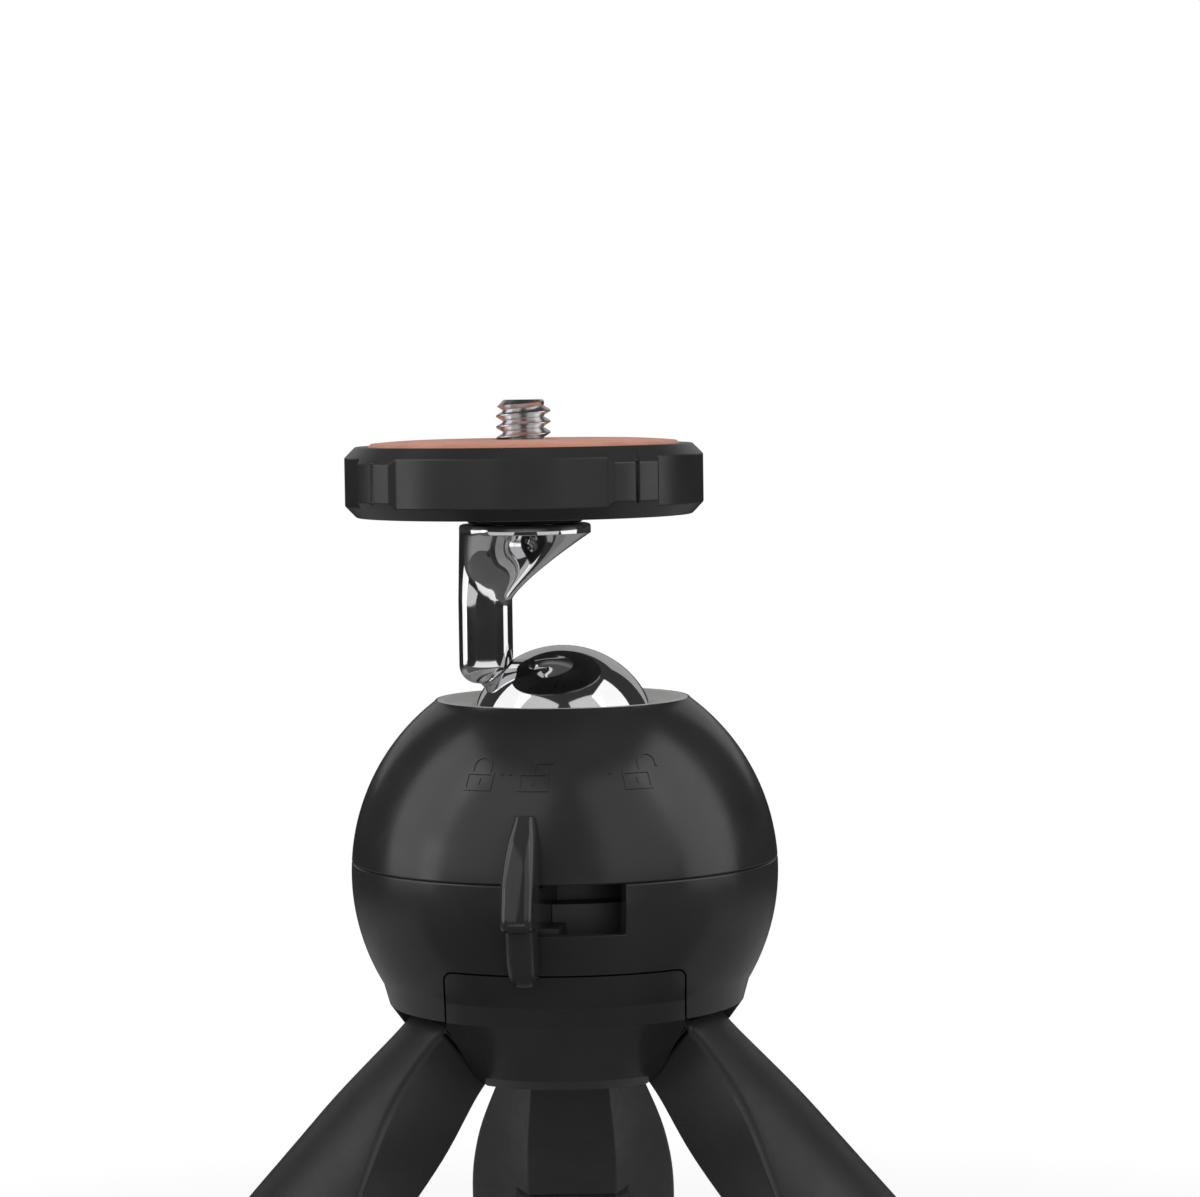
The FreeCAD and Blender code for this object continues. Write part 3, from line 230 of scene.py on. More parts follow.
# Light and camera, lengths in metres but for the camera's offset
ROOM_FILL = 0.24        # what soft surfaces get from the room
ROOM_GLOSS = 0.04       # what mirrors see of the room
ROOM_SHOWN = 1.0        # what the camera sees of the room
SCREEN_R = 1.2
SHEET_RISE = 0.002      # height of the level sheets over the floor
CAMERA_OFFSET_MM = (4.55, -420.0, 57.0)
CAMERA_DIP = 3.44       # degrees
CAMERA_ROLL = 0.8       # degrees

ROUND_STEPS = 128       # steps of a full turn
SAME_POINT = 0.0005     # points nearer than this are one point
WELD = 0.04             # points nearer than this are merged after a cut

SCENE = bpy.context.scene


# Mesh helpers

def around(radius, azimuth, z):
    """Point at a radius and an azimuth, where azimuth 0 is the front and 90 the right."""
    a = math.radians(azimuth)
    return Vector((radius * math.sin(a), -radius * math.cos(a), z))


def turn(azimuth):
    return Matrix.Rotation(math.radians(azimuth), 4, "Z")


def arc(centre, radius, start, end, steps):
    """Points along an arc in a plane, angles in degrees from the first axis."""
    points = []
    for i in range(steps + 1):
        a = math.radians(start + (end - start) * i / steps)
        points.append((centre[0] + radius * math.cos(a), centre[1] + radius * math.sin(a)))
    return points


def angle_at(radius, z):
    """Angle above the level, in degrees, of the point of a ball at a height."""
    return math.degrees(math.asin(z / radius))


def spun(profile, x=0.0, steps=ROUND_STEPS, closed=True):
    """Form turned about a vertical axis from (r, z) points that close on themselves or end on the axis."""
    bm = bmesh.new()
    verts = [bm.verts.new((r + x, 0, z)) for r, z in profile]
    pairs = list(zip(verts, verts[1:]))
    if closed:
        pairs.append((verts[-1], verts[0]))
    edges = [bm.edges.new(pair) for pair in pairs]
    bmesh.ops.spin(bm, geom=verts + edges, cent=(x, 0, 0), axis=(0, 0, 1), dvec=(0, 0, 0),
                   angle=2 * math.pi, steps=steps, use_merge=True, use_duplicate=False)
    bmesh.ops.remove_doubles(bm, verts=bm.verts, dist=SAME_POINT)
    bmesh.ops.dissolve_degenerate(bm, edges=bm.edges, dist=0.0001)
    bmesh.ops.recalc_face_normals(bm, faces=bm.faces)
    return bm


def lofted(rings, endless=False):
    """Closed form through rings of points, all with the same number of points."""
    bm = bmesh.new()
    loops = []
    for ring in rings:
        verts = [bm.verts.new(p) for p in ring]
        loops.append([bm.edges.new(pair) for pair in zip(verts, verts[1:] + verts[:1])])
    for near, far in zip(loops, loops[1:]):
        bmesh.ops.bridge_loops(bm, edges=near + far)
    if endless:
        bmesh.ops.bridge_loops(bm, edges=loops[-1] + loops[0])
    else:
        for end in (loops[0], loops[-1]):
            bmesh.ops.contextual_create(bm, geom=end)
    bmesh.ops.recalc_face_normals(bm, faces=bm.faces)
    return bm


def drawn_out(points, way):
    """Closed form from a flat outline, drawn out along a vector."""
    bm = bmesh.new()
    face = bm.faces.new([bm.verts.new(p) for p in points])
    drawn = bmesh.ops.extrude_face_region(bm, geom=[face])
    verts = [v for v in drawn["geom"] if isinstance(v, bmesh.types.BMVert)]
    bmesh.ops.translate(bm, verts=verts, vec=way)
    bmesh.ops.recalc_face_normals(bm, faces=bm.faces)
    return bm


def prism(outline, depth, matrix):
    """Outline in the X-Z plane, drawn out along Y by a depth, then placed."""
    bm = drawn_out([(x, 0, z) for x, z in outline], (0, depth, 0))
    bmesh.ops.transform(bm, matrix=matrix, verts=bm.verts)
    bmesh.ops.recalc_face_normals(bm, faces=bm.faces)
    return bm


def gathered(forms):
    """One form from several that stand apart."""
    bm = bmesh.new()
    for form in forms:
        mesh = bpy.data.meshes.new("form")
        form.to_mesh(mesh)
        form.free()
        bm.from_mesh(mesh)
        bpy.data.meshes.remove(mesh)
    return bm


def to_object(bm, name):
    mesh = bpy.data.meshes.new(name)
    bm.to_mesh(mesh)
    bm.free()
    obj = bpy.data.objects.new(name, mesh)
    SCENE.collection.objects.link(obj)
    return obj


def trim(bm, place, normal):
    """Takes away what lies beyond a plane, on the side that its normal points to."""
    bmesh.ops.bisect_plane(bm, geom=bm.verts[:] + bm.edges[:] + bm.faces[:], plane_co=place, plane_no=normal,
                           clear_outer=True, dist=SAME_POINT)


def close(bm):
    bmesh.ops.holes_fill(bm, edges=bm.edges, sides=0)
    bmesh.ops.recalc_face_normals(bm, faces=bm.faces)


def cut_off(bm, place, normal):
    trim(bm, place, normal)
    close(bm)


def combined(base, tool, operation="DIFFERENCE"):
    """Closed form cut by, or joined with, another one. Both are used up."""
    base_obj = to_object(base, "shape")
    tool_obj = to_object(tool, "tool")
    modifier = base_obj.modifiers.new("combine", "BOOLEAN")
    modifier.operation = operation
    modifier.solver = "EXACT"
    modifier.object = tool_obj
    result = base_obj.evaluated_get(bpy.context.evaluated_depsgraph_get())
    mesh = bpy.data.meshes.new_from_object(result)
    bm = bmesh.new()
    bm.from_mesh(mesh)
    for obj in (base_obj, tool_obj):
        data = obj.data
        bpy.data.objects.remove(obj)
        bpy.data.meshes.remove(data)
    bpy.data.meshes.remove(mesh)
    bmesh.ops.remove_doubles(bm, verts=bm.verts, dist=WELD)
    bmesh.ops.dissolve_degenerate(bm, edges=bm.edges, dist=WELD)
    return bm


def piece(name, bm, body, material, nodes=(), edge=0.0, angle=32.0):
    """Finished piece from a form, with its body, slot and finish, and its sharp edges bevelled in mm."""
    bmesh.ops.transform(bm, matrix=TO_FRAME, verts=bm.verts)
    obj = to_object(bm, name)
    mesh = obj.data
    mesh.materials.append(material)
    mesh.shade_smooth()
    if edge:
        bevel = obj.modifiers.new("soft_edges", "BEVEL")
        bevel.width = edge * MM
        bevel.segments = 3
        bevel.limit_method = "ANGLE"
        bevel.angle_limit = math.radians(angle)
        bevel.profile = 0.5
        bevel.material = -1
        bevel.harden_normals = True
        bevel.use_clamp_overlap = False
    else:
        mesh.set_sharp_from_angle(angle=math.radians(angle))
    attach(obj, body)
    if nodes:
        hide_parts(*nodes)


# Materials

def new_material(name):
    material = bpy.data.materials.new(name)
    material.use_nodes = True
    tree = material.node_tree
    shader = tree.nodes["Principled BSDF"]
    coords = tree.nodes.new("ShaderNodeTexCoord")
    return material, tree, shader, coords.outputs["Object"]


def noise(tree, coords, scale, detail):
    """Noise of a number of grains per metre."""
    node = tree.nodes.new("ShaderNodeTexNoise")
    node.inputs["Scale"].default_value = scale
    node.inputs["Detail"].default_value = detail
    tree.links.new(coords, node.inputs["Vector"])
    return node.outputs["Fac"]


def spread(tree, value, low_value, high_value, start=0.3, end=0.7):
    """Turns the stretch from start to end of a value into the stretch between two others."""
    node = tree.nodes.new("ShaderNodeMapRange")
    node.inputs["From Min"].default_value = start
    node.inputs["From Max"].default_value = end
    node.inputs["To Min"].default_value = low_value
    node.inputs["To Max"].default_value = high_value
    tree.links.new(value, node.inputs["Value"])
    return node.outputs["Result"]


def grey(level):
    return (level, level, level)


def blend_colours(tree, value, first, second):
    node = tree.nodes.new("ShaderNodeMix")
    node.data_type = "RGBA"
    node.inputs["A"].default_value = (*first, 1)
    node.inputs["B"].default_value = (*second, 1)
    tree.links.new(value, node.inputs["Factor"])
    return node.outputs["Result"]


def bump(tree, height, depth_mm, under=None):
    """Relief of a depth in mm, laid over another one where that is given."""
    node = tree.nodes.new("ShaderNodeBump")
    node.inputs["Strength"].default_value = 1.0
    node.inputs["Distance"].default_value = depth_mm * MM
    tree.links.new(height, node.inputs["Height"])
    if under is not None:
        tree.links.new(under, node.inputs["Normal"])
    return node.outputs["Normal"]


def tint(tree, shader, value, dark, light):
    """Colour that follows a value from a dark to a light tone."""
    tone = blend_colours(tree, spread(tree, value, 0, 1), dark, light)
    tree.links.new(tone, shader.inputs["Base Color"])


def gloss(tree, shader, value, smooth, rough):
    """Roughness that follows a value."""
    tree.links.new(spread(tree, value, smooth, rough), shader.inputs["Roughness"])


def moulded_plastic(name, dark, light, smooth, rough, grain_mm, grain_depth):
    """Moulded plastic: cloudy tone, uneven gloss and a fine spark-eroded grain."""
    material, tree, shader, coords = new_material(name)
    tint(tree, shader, noise(tree, coords, 90, 4), dark, light)
    gloss(tree, shader, noise(tree, coords, 400, 3), smooth, rough)
    grain = noise(tree, coords, 1 / (grain_mm * MM), 2)
    tree.links.new(bump(tree, grain, grain_depth), shader.inputs["Normal"])
    return material


def chrome_plate(name, smooth, rough):
    """Chrome: bright mirror with faint waviness and finger haze."""
    material, tree, shader, coords = new_material(name)
    haze = noise(tree, coords, 120, 4)
    tint(tree, shader, haze, (0.72, 0.72, 0.73), (0.82, 0.82, 0.83))
    gloss(tree, shader, haze, smooth, rough)
    shader.inputs["Metallic"].default_value = 1.0
    waves = noise(tree, coords, 160, 1)
    tree.links.new(bump(tree, waves, 0.02), shader.inputs["Normal"])
    return material


def turned_metal(name, dark, light, smooth, rough, metallic, centre, groove_mm, groove_depth):
    """Metal turned on a lathe: fine rings about a vertical axis."""
    material, tree, shader, coords = new_material(name)
    mapping = tree.nodes.new("ShaderNodeMapping")
    mapping.inputs["Location"].default_value = (-centre.x, -centre.y, 0)
    tree.links.new(coords, mapping.inputs["Vector"])
    rings = tree.nodes.new("ShaderNodeTexWave")
    rings.wave_type = "RINGS"
    rings.rings_direction = "Z"
    rings.inputs["Scale"].default_value = 2 * math.pi / (20 * groove_mm * MM)
    rings.inputs["Distortion"].default_value = 0.6
    tree.links.new(mapping.outputs["Vector"], rings.inputs["Vector"])
    cloud = noise(tree, coords, 300, 3)
    tint(tree, shader, cloud, dark, light)
    gloss(tree, shader, cloud, smooth, rough)
    shader.inputs["Metallic"].default_value = metallic
    tree.links.new(bump(tree, rings.outputs["Fac"], groove_depth), shader.inputs["Normal"])
    return material


def plated_steel():
    material, tree, shader, coords = new_material("zinc_plated_steel")
    cloud = noise(tree, coords, 500, 4)
    tint(tree, shader, cloud, (0.42, 0.43, 0.45), (0.58, 0.58, 0.57))
    gloss(tree, shader, cloud, 0.25, 0.4)
    shader.inputs["Metallic"].default_value = 1.0
    grain = noise(tree, coords, 3000, 2)
    tree.links.new(bump(tree, grain, 0.006), shader.inputs["Normal"])
    return material


def rubber(name, dark, light, rough, grain_mm, grain_depth):
    """Rubber with a fine pebbled skin and a dusty sheen."""
    material, tree, shader, coords = new_material(name)
    cloud = noise(tree, coords, 250, 5)
    tint(tree, shader, cloud, dark, light)
    gloss(tree, shader, cloud, rough, rough + 0.1)
    pebbles = tree.nodes.new("ShaderNodeTexVoronoi")
    pebbles.inputs["Scale"].default_value = 1 / (grain_mm * MM)
    tree.links.new(coords, pebbles.inputs["Vector"])
    fine = noise(tree, coords, 2 / (grain_mm * MM), 2)
    pebbled = bump(tree, pebbles.outputs["Distance"], grain_depth)
    tree.links.new(bump(tree, fine, grain_depth * 0.5, under=pebbled), shader.inputs["Normal"])
    shader.inputs["Sheen Weight"].default_value = 0.15
    shader.inputs["Sheen Roughness"].default_value = 0.5
    return material


BODY_PLASTIC = moulded_plastic("satin_black_shell", (0.021, 0.0215, 0.0215), (0.029, 0.0295, 0.0295),
                               0.2, 0.25, 0.22, 0.002)
LEG_PLASTIC = moulded_plastic("satin_black_leg", (0.017, 0.0175, 0.0175), (0.024, 0.0245, 0.0245),
                              0.36, 0.44, 0.25, 0.011)
BAND_PLASTIC = moulded_plastic("matte_black_band", (0.016, 0.0165, 0.0165), (0.023, 0.0235, 0.0235),
                               0.46, 0.56, 0.3, 0.018)
LEVER_PLASTIC = moulded_plastic("glossy_black_lever", (0.024, 0.0245, 0.0245), (0.031, 0.0315, 0.0315),
                                0.1, 0.14, 0.3, 0.002)
PLATFORM_PLASTIC = moulded_plastic("satin_black_platform", (0.02, 0.0205, 0.0205), (0.027, 0.0275, 0.0275),
                                   0.27, 0.33, 0.22, 0.0015)
# Painted light: the inner parts are a lighter black than the shell, for the light that hardly reaches the
# lever's slot.
INNER_PLASTIC_PAINTED_FILL = moulded_plastic("black_inner_plastic_painted_fill", (0.05, 0.05, 0.051), (0.06, 0.06, 0.061),
                                0.4, 0.5, 0.3, 0.01)
SEAT_PLASTIC = moulded_plastic("white_seat_plastic", (0.55, 0.55, 0.52), (0.65, 0.65, 0.62),
                               0.35, 0.45, 0.3, 0.008)
WASHER_PLASTIC = moulded_plastic("clear_washer_plastic", (0.6, 0.6, 0.57), (0.72, 0.72, 0.7),
                                 0.4, 0.5, 0.3, 0.008)
CHROME = chrome_plate("polished_chrome", 0.03, 0.07)
SCREW_METAL = chrome_plate("satin_chrome_thread", 0.22, 0.3)
SOCKET_METAL = turned_metal("satin_socket_metal", (0.72, 0.72, 0.7), (0.84, 0.84, 0.82), 0.35, 0.45, 0.35,
                            BODY_AT, 0.3, 0.006)
STEEL = plated_steel()
PAD_RUBBER = rubber("terracotta_pad", (0.52, 0.21, 0.135), (0.62, 0.27, 0.18), 0.6, 0.35, 0.03)
FOOT_RUBBER = rubber("black_foot_rubber", grey(0.014), grey(0.024), 0.65, 0.5, 0.05)


# Body shells

def make_upper_shell():
    hollow_top = NECK_Z - NECK_LEDGE - NECK_ROOF
    neck_angle = math.degrees(math.atan2(NECK_Z, NECK_R)) - NECK_ROUND
    outer = arc((0, 0), BODY_R, angle_at(BODY_R, SEAM_Z + SEAM_EDGE), neck_angle, 30)
    inner = arc((0, 0), HOLLOW_R, angle_at(HOLLOW_R, hollow_top), angle_at(HOLLOW_R, SEAM_Z), 20)
    profile = [(SEAM_R - SEAM_EDGE, SEAM_Z)] + outer + [
        (NECK_R + NECK_EDGE, NECK_Z),
        (NECK_R, NECK_Z - NECK_EDGE),
        (NECK_R, NECK_Z - NECK_LEDGE),
        (NECK_R - NECK_STEP, NECK_Z - NECK_LEDGE),
        (NECK_R - NECK_STEP, hollow_top),
    ] + inner
    piece("body_top", spun(profile, steps=160), "base", BODY_PLASTIC, ("upper_shell",), 0.06)


def petal_opening():
    """Front outline of the opening for a petal, with rounded top corners."""
    half = PETAL_HALF + PETAL_GAP
    top = PETAL_TOP_Z + PETAL_GAP
    low = RIM_Z - 2 * OVER
    corner = PETAL_CORNER + PETAL_GAP
    left = arc((-half + corner, top - corner), corner, 180, 90, 6)
    right = arc((half - corner, top - corner), corner, 90, 0, 6)
    return [(-half, low)] + left + right + [(half, low)]


def fan(inner_r, outer_r, start, end, steps):
    """Plan of a ring's sector between two azimuths."""
    near = [around(inner_r, start + (end - start) * i / steps, 0) for i in range(steps + 1)]
    far = [around(outer_r, end - (end - start) * i / steps, 0) for i in range(steps + 1)]
    return near + far


def lever_slot():
    """Room for the lever's shank, from its locked to its open place."""
    plan = fan(SLOT_INNER_R, BODY_R + 4 * OVER, SLOT_FROM, SLOT_TO, 12)
    slot = drawn_out(plan, (0, 0, SLOT_DEPTH + 3 * OVER))
    bmesh.ops.translate(slot, verts=slot.verts, vec=(0, 0, SEAM_Z - SLOT_DEPTH))
    return slot


def make_lower_shell():
    taper_z = RIM_Z + RIM_TAPER
    shelf_top = SHELF_Z + SHELF
    skirt_r = RIM_R - BODY_WALL
    outer = arc((0, 0), BODY_R, angle_at(BODY_R, taper_z), angle_at(BODY_R, SEAM_Z - SEAM_EDGE), 16)
    inner = arc((0, 0), HOLLOW_R, angle_at(HOLLOW_R, SEAM_Z), angle_at(HOLLOW_R, shelf_top), 8)
    profile = [(RIM_R, RIM_Z)] + outer + [(SEAM_R - SEAM_EDGE, SEAM_Z)] + inner + [
        (SHELF_BORE, shelf_top),
        (SHELF_BORE, SHELF_Z),
        (skirt_r, SHELF_Z),
        (skirt_r, RIM_Z),
    ]
    openings = [prism(petal_opening(), -BODY_R * 2, turn(azimuth)) for azimuth in PETAL_AZIMUTHS]
    shell = combined(spun(profile, steps=144), gathered(openings + [lever_slot()]))
    piece("body_bottom", shell, "base", BODY_PLASTIC, ("lower_shell",), 0.1)


def make_socket_ring():
    """Ring in the neck: a flat rim, a dish down to the lip round the ball, and a collar below."""
    flange_r = NECK_R - FIT
    body_r = NECK_R - NECK_STEP - FIT
    rim_z = NECK_Z - HAIR
    ledge_z = NECK_Z - NECK_LEDGE + FIT
    foot_z = NECK_Z - NECK_LEDGE - RING_FOOT
    lip_z = NECK_Z - RING_DISH
    lip_low_z = lip_z - RING_LIP
    lip_r = math.sqrt(BALL_R ** 2 - (lip_low_z - BALL_Z) ** 2) + SEAT_GAP
    dish_from = flange_r - RING_RIM
    dish_to = lip_r + RING_LIP_LAND
    dish = []
    steps = 12
    for i in range(steps + 1):
        share = i / steps
        drop = RING_DISH * math.sin(share * math.pi / 2)
        dish.append((dish_from + (dish_to - dish_from) * share, rim_z - drop))
    profile = [(flange_r, ledge_z), (flange_r, rim_z)] + dish + [
        (lip_r, lip_z - RING_LIP_EDGE),
        (lip_r, lip_low_z),
        (RING_BORE_R, lip_low_z),
        (RING_BORE_R, foot_z),
        (body_r, foot_z),
        (body_r, ledge_z),
    ]
    ring = spun(profile, steps=160)
    piece("ball_ring", ring, "base", SOCKET_METAL, ("socket_ring",), 0.06)


def stroke(path, closed=False):
    """Raised line along a path of (across, up) points on a flat sheet, with mitred corners."""
    points = []
    count = len(path) if closed else len(path) - 1
    for i in range(count):
        here, there = Vector(path[i]), Vector(path[(i + 1) % len(path)])
        pieces = max(1, round((there - here).length / MARK_STEP))
        points += [here.lerp(there, j / pieces) for j in range(pieces)]
    if not closed:
        points.append(Vector(path[-1]))
    rings = []
    last = len(points) - 1
    for i, here in enumerate(points):
        before = points[i - 1] if closed or i else None
        after = points[(i + 1) % len(points)] if closed or i < last else None
        ways = []
        if before is not None:
            ways.append((here - before).normalized())
        if after is not None:
            ways.append((after - here).normalized())
        way = sum(ways, Vector((0, 0))).normalized()
        side = Vector((-way.y, way.x)) * (MARK_LINE / 2 / max(way.dot(ways[0]), 0.5))
        crest = side * MARK_CREST
        rings.append([(*(here + side), -MARK_SINK), (*(here + crest), MARK_RISE),
                      (*(here - crest), MARK_RISE), (*(here - side), -MARK_SINK)])
    return lofted(rings, endless=closed)


def lock_mark(azimuth, shackle):
    """Plain padlock sign on the shell: its body, keyhole and shackle."""
    half = MARK_WIDTH / 2
    box = [(-half, 0), (half, 0), (half, MARK_HEIGHT), (-half, MARK_HEIGHT)]
    keyhole = [(0, KEYHOLE_LOW), (0, KEYHOLE_HIGH)]
    mark = gathered([stroke(box, True), stroke(keyhole), stroke(shackle)])
    return laid_on_shell(mark, azimuth)


def laid_on_shell(mark, azimuth):
    """Bends a flat mark round the body, its foot at the height of the marks."""
    for v in mark.verts:
        level = math.radians(MARK_FOOT) + v.co.y / BODY_R
        side = math.radians(azimuth) + v.co.x / (BODY_R * math.cos(level))
        reach = BODY_R + v.co.z
        v.co = around(reach * math.cos(level), math.degrees(side), reach * math.sin(level))
    bmesh.ops.recalc_face_normals(mark, faces=mark.faces)
    return mark


def make_lock_marks():
    """Signs over the lever's three places, with dots on the way between them."""
    foot = MARK_HEIGHT
    top = foot + SHACKLE_RISE
    bow = SHACKLE_R
    shut = [(-bow, foot)] + arc((0, top), bow, 180, 0, 10) + [(bow, foot)]
    corner = 0.5
    reach = 2.1
    half_open = [(0, foot), (0, top)] + arc((corner, top), corner, 180, 90, 4) + [(reach, top + corner)]
    stem = 0.55
    lift = 0.25
    hang = 0.35
    swung = [(stem, foot), (stem, top)] + arc((stem + bow, top + lift), bow, 180, 0, 10)
    swung.append((stem + 2 * bow, top - hang))
    marks = [lock_mark(*sign) for sign in zip(MARK_AZIMUTHS, (shut, half_open, swung))]
    for azimuth in DOT_AZIMUTHS:
        marks.append(laid_on_shell(stroke([(-DOT_WIDTH / 2, foot), (DOT_WIDTH / 2, foot)]), azimuth))
    piece("lock_marks", gathered(marks), "base", BODY_PLASTIC, angle=50)


# Ball and arm

def stem_matrix():
    """Place of a form that stands upright about the ball's middle, turned to the stem's tilt."""
    return Matrix.Translation((0, 0, BALL_Z)) @ Matrix.Rotation(math.radians(-STEM_TILT), 4, "Y")


def make_ball():
    mouth = math.degrees(math.acos(STUD_R / BALL_R))
    hole_z = BALL_R - STUD_IN_BALL
    profile = arc((0, 0), BALL_R, -90, mouth, 72) + [(STUD_R, hole_z), (0, hole_z)]
    ball = spun(profile, steps=144, closed=False)
    bmesh.ops.transform(ball, matrix=stem_matrix(), verts=ball.verts)
    piece("chrome_ball", ball, "ball", CHROME, ("ball",))


def flare_right(share):
    """Right side of the flare at a share of its height."""
    start = ARM_LEFT + 2 * ARM_R
    end = PLATFORM_X + FLANGE_R
    return start + (end - start) * share ** FLARE_OUT_POWER


def oval_points(x, z, across, deep, flatness):
    """Level oval from half its width and half its depth; above a flatness of 2 its sides are flatter."""
    points = []
    for i in range(ROUND_STEPS):
        a = 2 * math.pi * i / ROUND_STEPS
        right = math.copysign(abs(math.cos(a)) ** (2 / flatness), math.cos(a))
        back = math.copysign(abs(math.sin(a)) ** (2 / flatness), math.sin(a))
        points.append(Vector((x + across * right, deep * back, z)))
    return points


def make_arm():
    """Slightly flattened bar on the ball; above, it bends out to the right into the round flange."""
    low_z = BALL_Z + ARM_BOTTOM
    start = BALL_Z + FLARE_START
    end = BALL_Z + FLARE_END
    bar_x = ARM_LEFT + ARM_R
    straight = start - low_z - ARM_CORNER
    rings = []
    for r, z in arc((ARM_R - ARM_CORNER, low_z + ARM_CORNER), ARM_CORNER, -88, 0, 12):
        rings.append((bar_x, z, r, r, BAR_FLATNESS))
    bar_steps = 8
    for i in range(1, bar_steps + 1):
        rings.append((bar_x, low_z + ARM_CORNER + straight * i / bar_steps, ARM_R, ARM_R, BAR_FLATNESS))
    flare_steps = 48
    for i in range(1, flare_steps + 1):
        share = i / flare_steps
        left = ARM_LEFT + (PLATFORM_X - FLANGE_R - ARM_LEFT) * share
        right = flare_right(share)
        deep = ARM_R + (FLANGE_R - ARM_R) * share ** FLARE_DEPTH_POWER
        flatness = BAR_FLATNESS + (2 - BAR_FLATNESS) * share
        rings.append(((left + right) / 2, start + (end - start) * share, (right - left) / 2, deep, flatness))
    top_z = end + FLANGE_T
    top = [
        (top_z - FLANGE_EDGE, FLANGE_R),
        (top_z - FLANGE_EDGE_MIDDLE, FLANGE_R - FLANGE_EDGE_MIDDLE),
        (top_z, FLANGE_R - FLANGE_EDGE),
        (top_z, SPIGOT_R),
        (COLLAR_Z + SPIGOT_H, SPIGOT_R),
    ]
    for z, radius in top:
        rings.append((PLATFORM_X, z, radius, radius, 2.0))
    arm = lofted([oval_points(*size) for size in rings])
    hollow = bmesh.new()
    bmesh.ops.create_uvsphere(hollow, u_segments=96, v_segments=48, radius=BALL_R + SEAT_GAP,
                              matrix=Matrix.Translation((0, 0, BALL_Z)))
    arm = combined(arm, hollow)
    piece("chrome_arm", arm, "arm", CHROME, ("arm",), 0.05, 40)


# Platform

def make_collar():
    bore = SPIGOT_R + FIT
    top_z = PLATFORM_Z - HAIR
    profile = [(bore, COLLAR_Z), (COLLAR_FOOT_R, COLLAR_Z), (COLLAR_R, top_z), (bore, top_z)]
    piece("platform_neck", spun(profile, PLATFORM_X), "platform", PLATFORM_PLASTIC,
          ("platform_collar",), 0.1)


def grip_room(azimuth):
    """Space in front of one sunk grip panel, with end walls that slope at 45 degrees."""
    floor_r = PLATFORM_R - GRIP_DEPTH
    far_r = PLATFORM_R + OVER
    half = GRIP_SPAN / 2
    far_half = half + math.degrees((far_r - floor_r) / PLATFORM_R)
    steps = 36
    far_steps = 8
    near = [around(floor_r, azimuth - half + GRIP_SPAN * i / steps, 0) for i in range(steps + 1)]
    far = [around(far_r, azimuth + far_half * (1 - 2 * i / far_steps), 0) for i in range(far_steps + 1)]
    plan = [Vector((p.x + PLATFORM_X, p.y, PLATFORM_Z - OVER)) for p in near + far]
    return drawn_out(plan, (0, 0, PLATFORM_H + 2 * OVER))


def rib_groove(azimuth):
    """Fine groove down the middle of the rib between two panels."""
    at = around(PLATFORM_R, azimuth, PLATFORM_Z + PLATFORM_H / 2)
    groove = bmesh.new()
    bmesh.ops.create_cone(groove, cap_ends=True, segments=16, radius1=GRIP_GROOVE_R, radius2=GRIP_GROOVE_R,
                          depth=PLATFORM_H + 2 * OVER,
                          matrix=Matrix.Translation(at + Vector((PLATFORM_X, 0, 0))))
    return groove


def make_platform():
    """Disc with a seat for the pad, steps for the screw's flange and the pivot, and sunk grips."""
    bore = SPIGOT_R + FIT
    seat_r = PAD_R + FIT
    seat_z = PLATFORM_TOP_Z - PAD_SINK
    step_r = SCREW_FLANGE_R + FIT
    step_z = seat_z - SCREW_FLANGE_H - FIT
    pocket_z = COLLAR_Z + SPIGOT_H - SPIGOT_IN_POCKET
    profile = [
        (bore, PLATFORM_Z),
        (PLATFORM_R - PLATFORM_FOOT_IN, PLATFORM_Z),
        (PLATFORM_R, PLATFORM_Z + PLATFORM_FOOT_RISE),
        (PLATFORM_R, PLATFORM_TOP_Z - PLATFORM_TOP_DROP),
        (PLATFORM_R - PLATFORM_TOP_IN, PLATFORM_TOP_Z),
        (seat_r, PLATFORM_TOP_Z),
        (seat_r, seat_z),
        (step_r, seat_z),
        (step_r, step_z),
        (POCKET_R, step_z),
        (POCKET_R, pocket_z),
        (bore, pocket_z),
    ]
    cuts = []
    for i in range(GRIP_COUNT):
        azimuth = GRIP_AZ + i * 360 / GRIP_COUNT
        cuts += [grip_room(azimuth), rib_groove(azimuth + 180 / GRIP_COUNT)]
    disc = combined(spun(profile, PLATFORM_X, steps=180), gathered(cuts))
    piece("platform_disc", disc, "platform", PLATFORM_PLASTIC, ("platform",), 0.12)


def make_pad():
    """Pad that is flat in the middle and falls off a little to its edge, with a hole for the screw."""
    low_z = PLATFORM_TOP_Z - PAD_SINK
    edge_r = PAD_R - PAD_EDGE
    edge_z = PAD_TOP_Z - PAD_DOME
    bore = SCREW_R + PAD_BORE_GAP
    steps = 8
    dome = []
    for i in range(steps + 1):
        share = i / steps
        rise = PAD_DOME * math.sin(share * math.pi / 2)
        dome.append((edge_r - (edge_r - PAD_FLAT_R) * share, edge_z + rise))
    profile = [(PAD_R, low_z), (PAD_R, edge_z - PAD_EDGE)] + dome + [(bore, PAD_TOP_Z), (bore, low_z)]
    piece("orange_pad", spun(profile, PLATFORM_X, steps=160), "platform", PAD_RUBBER,
          ("platform_pad",), 0.12)


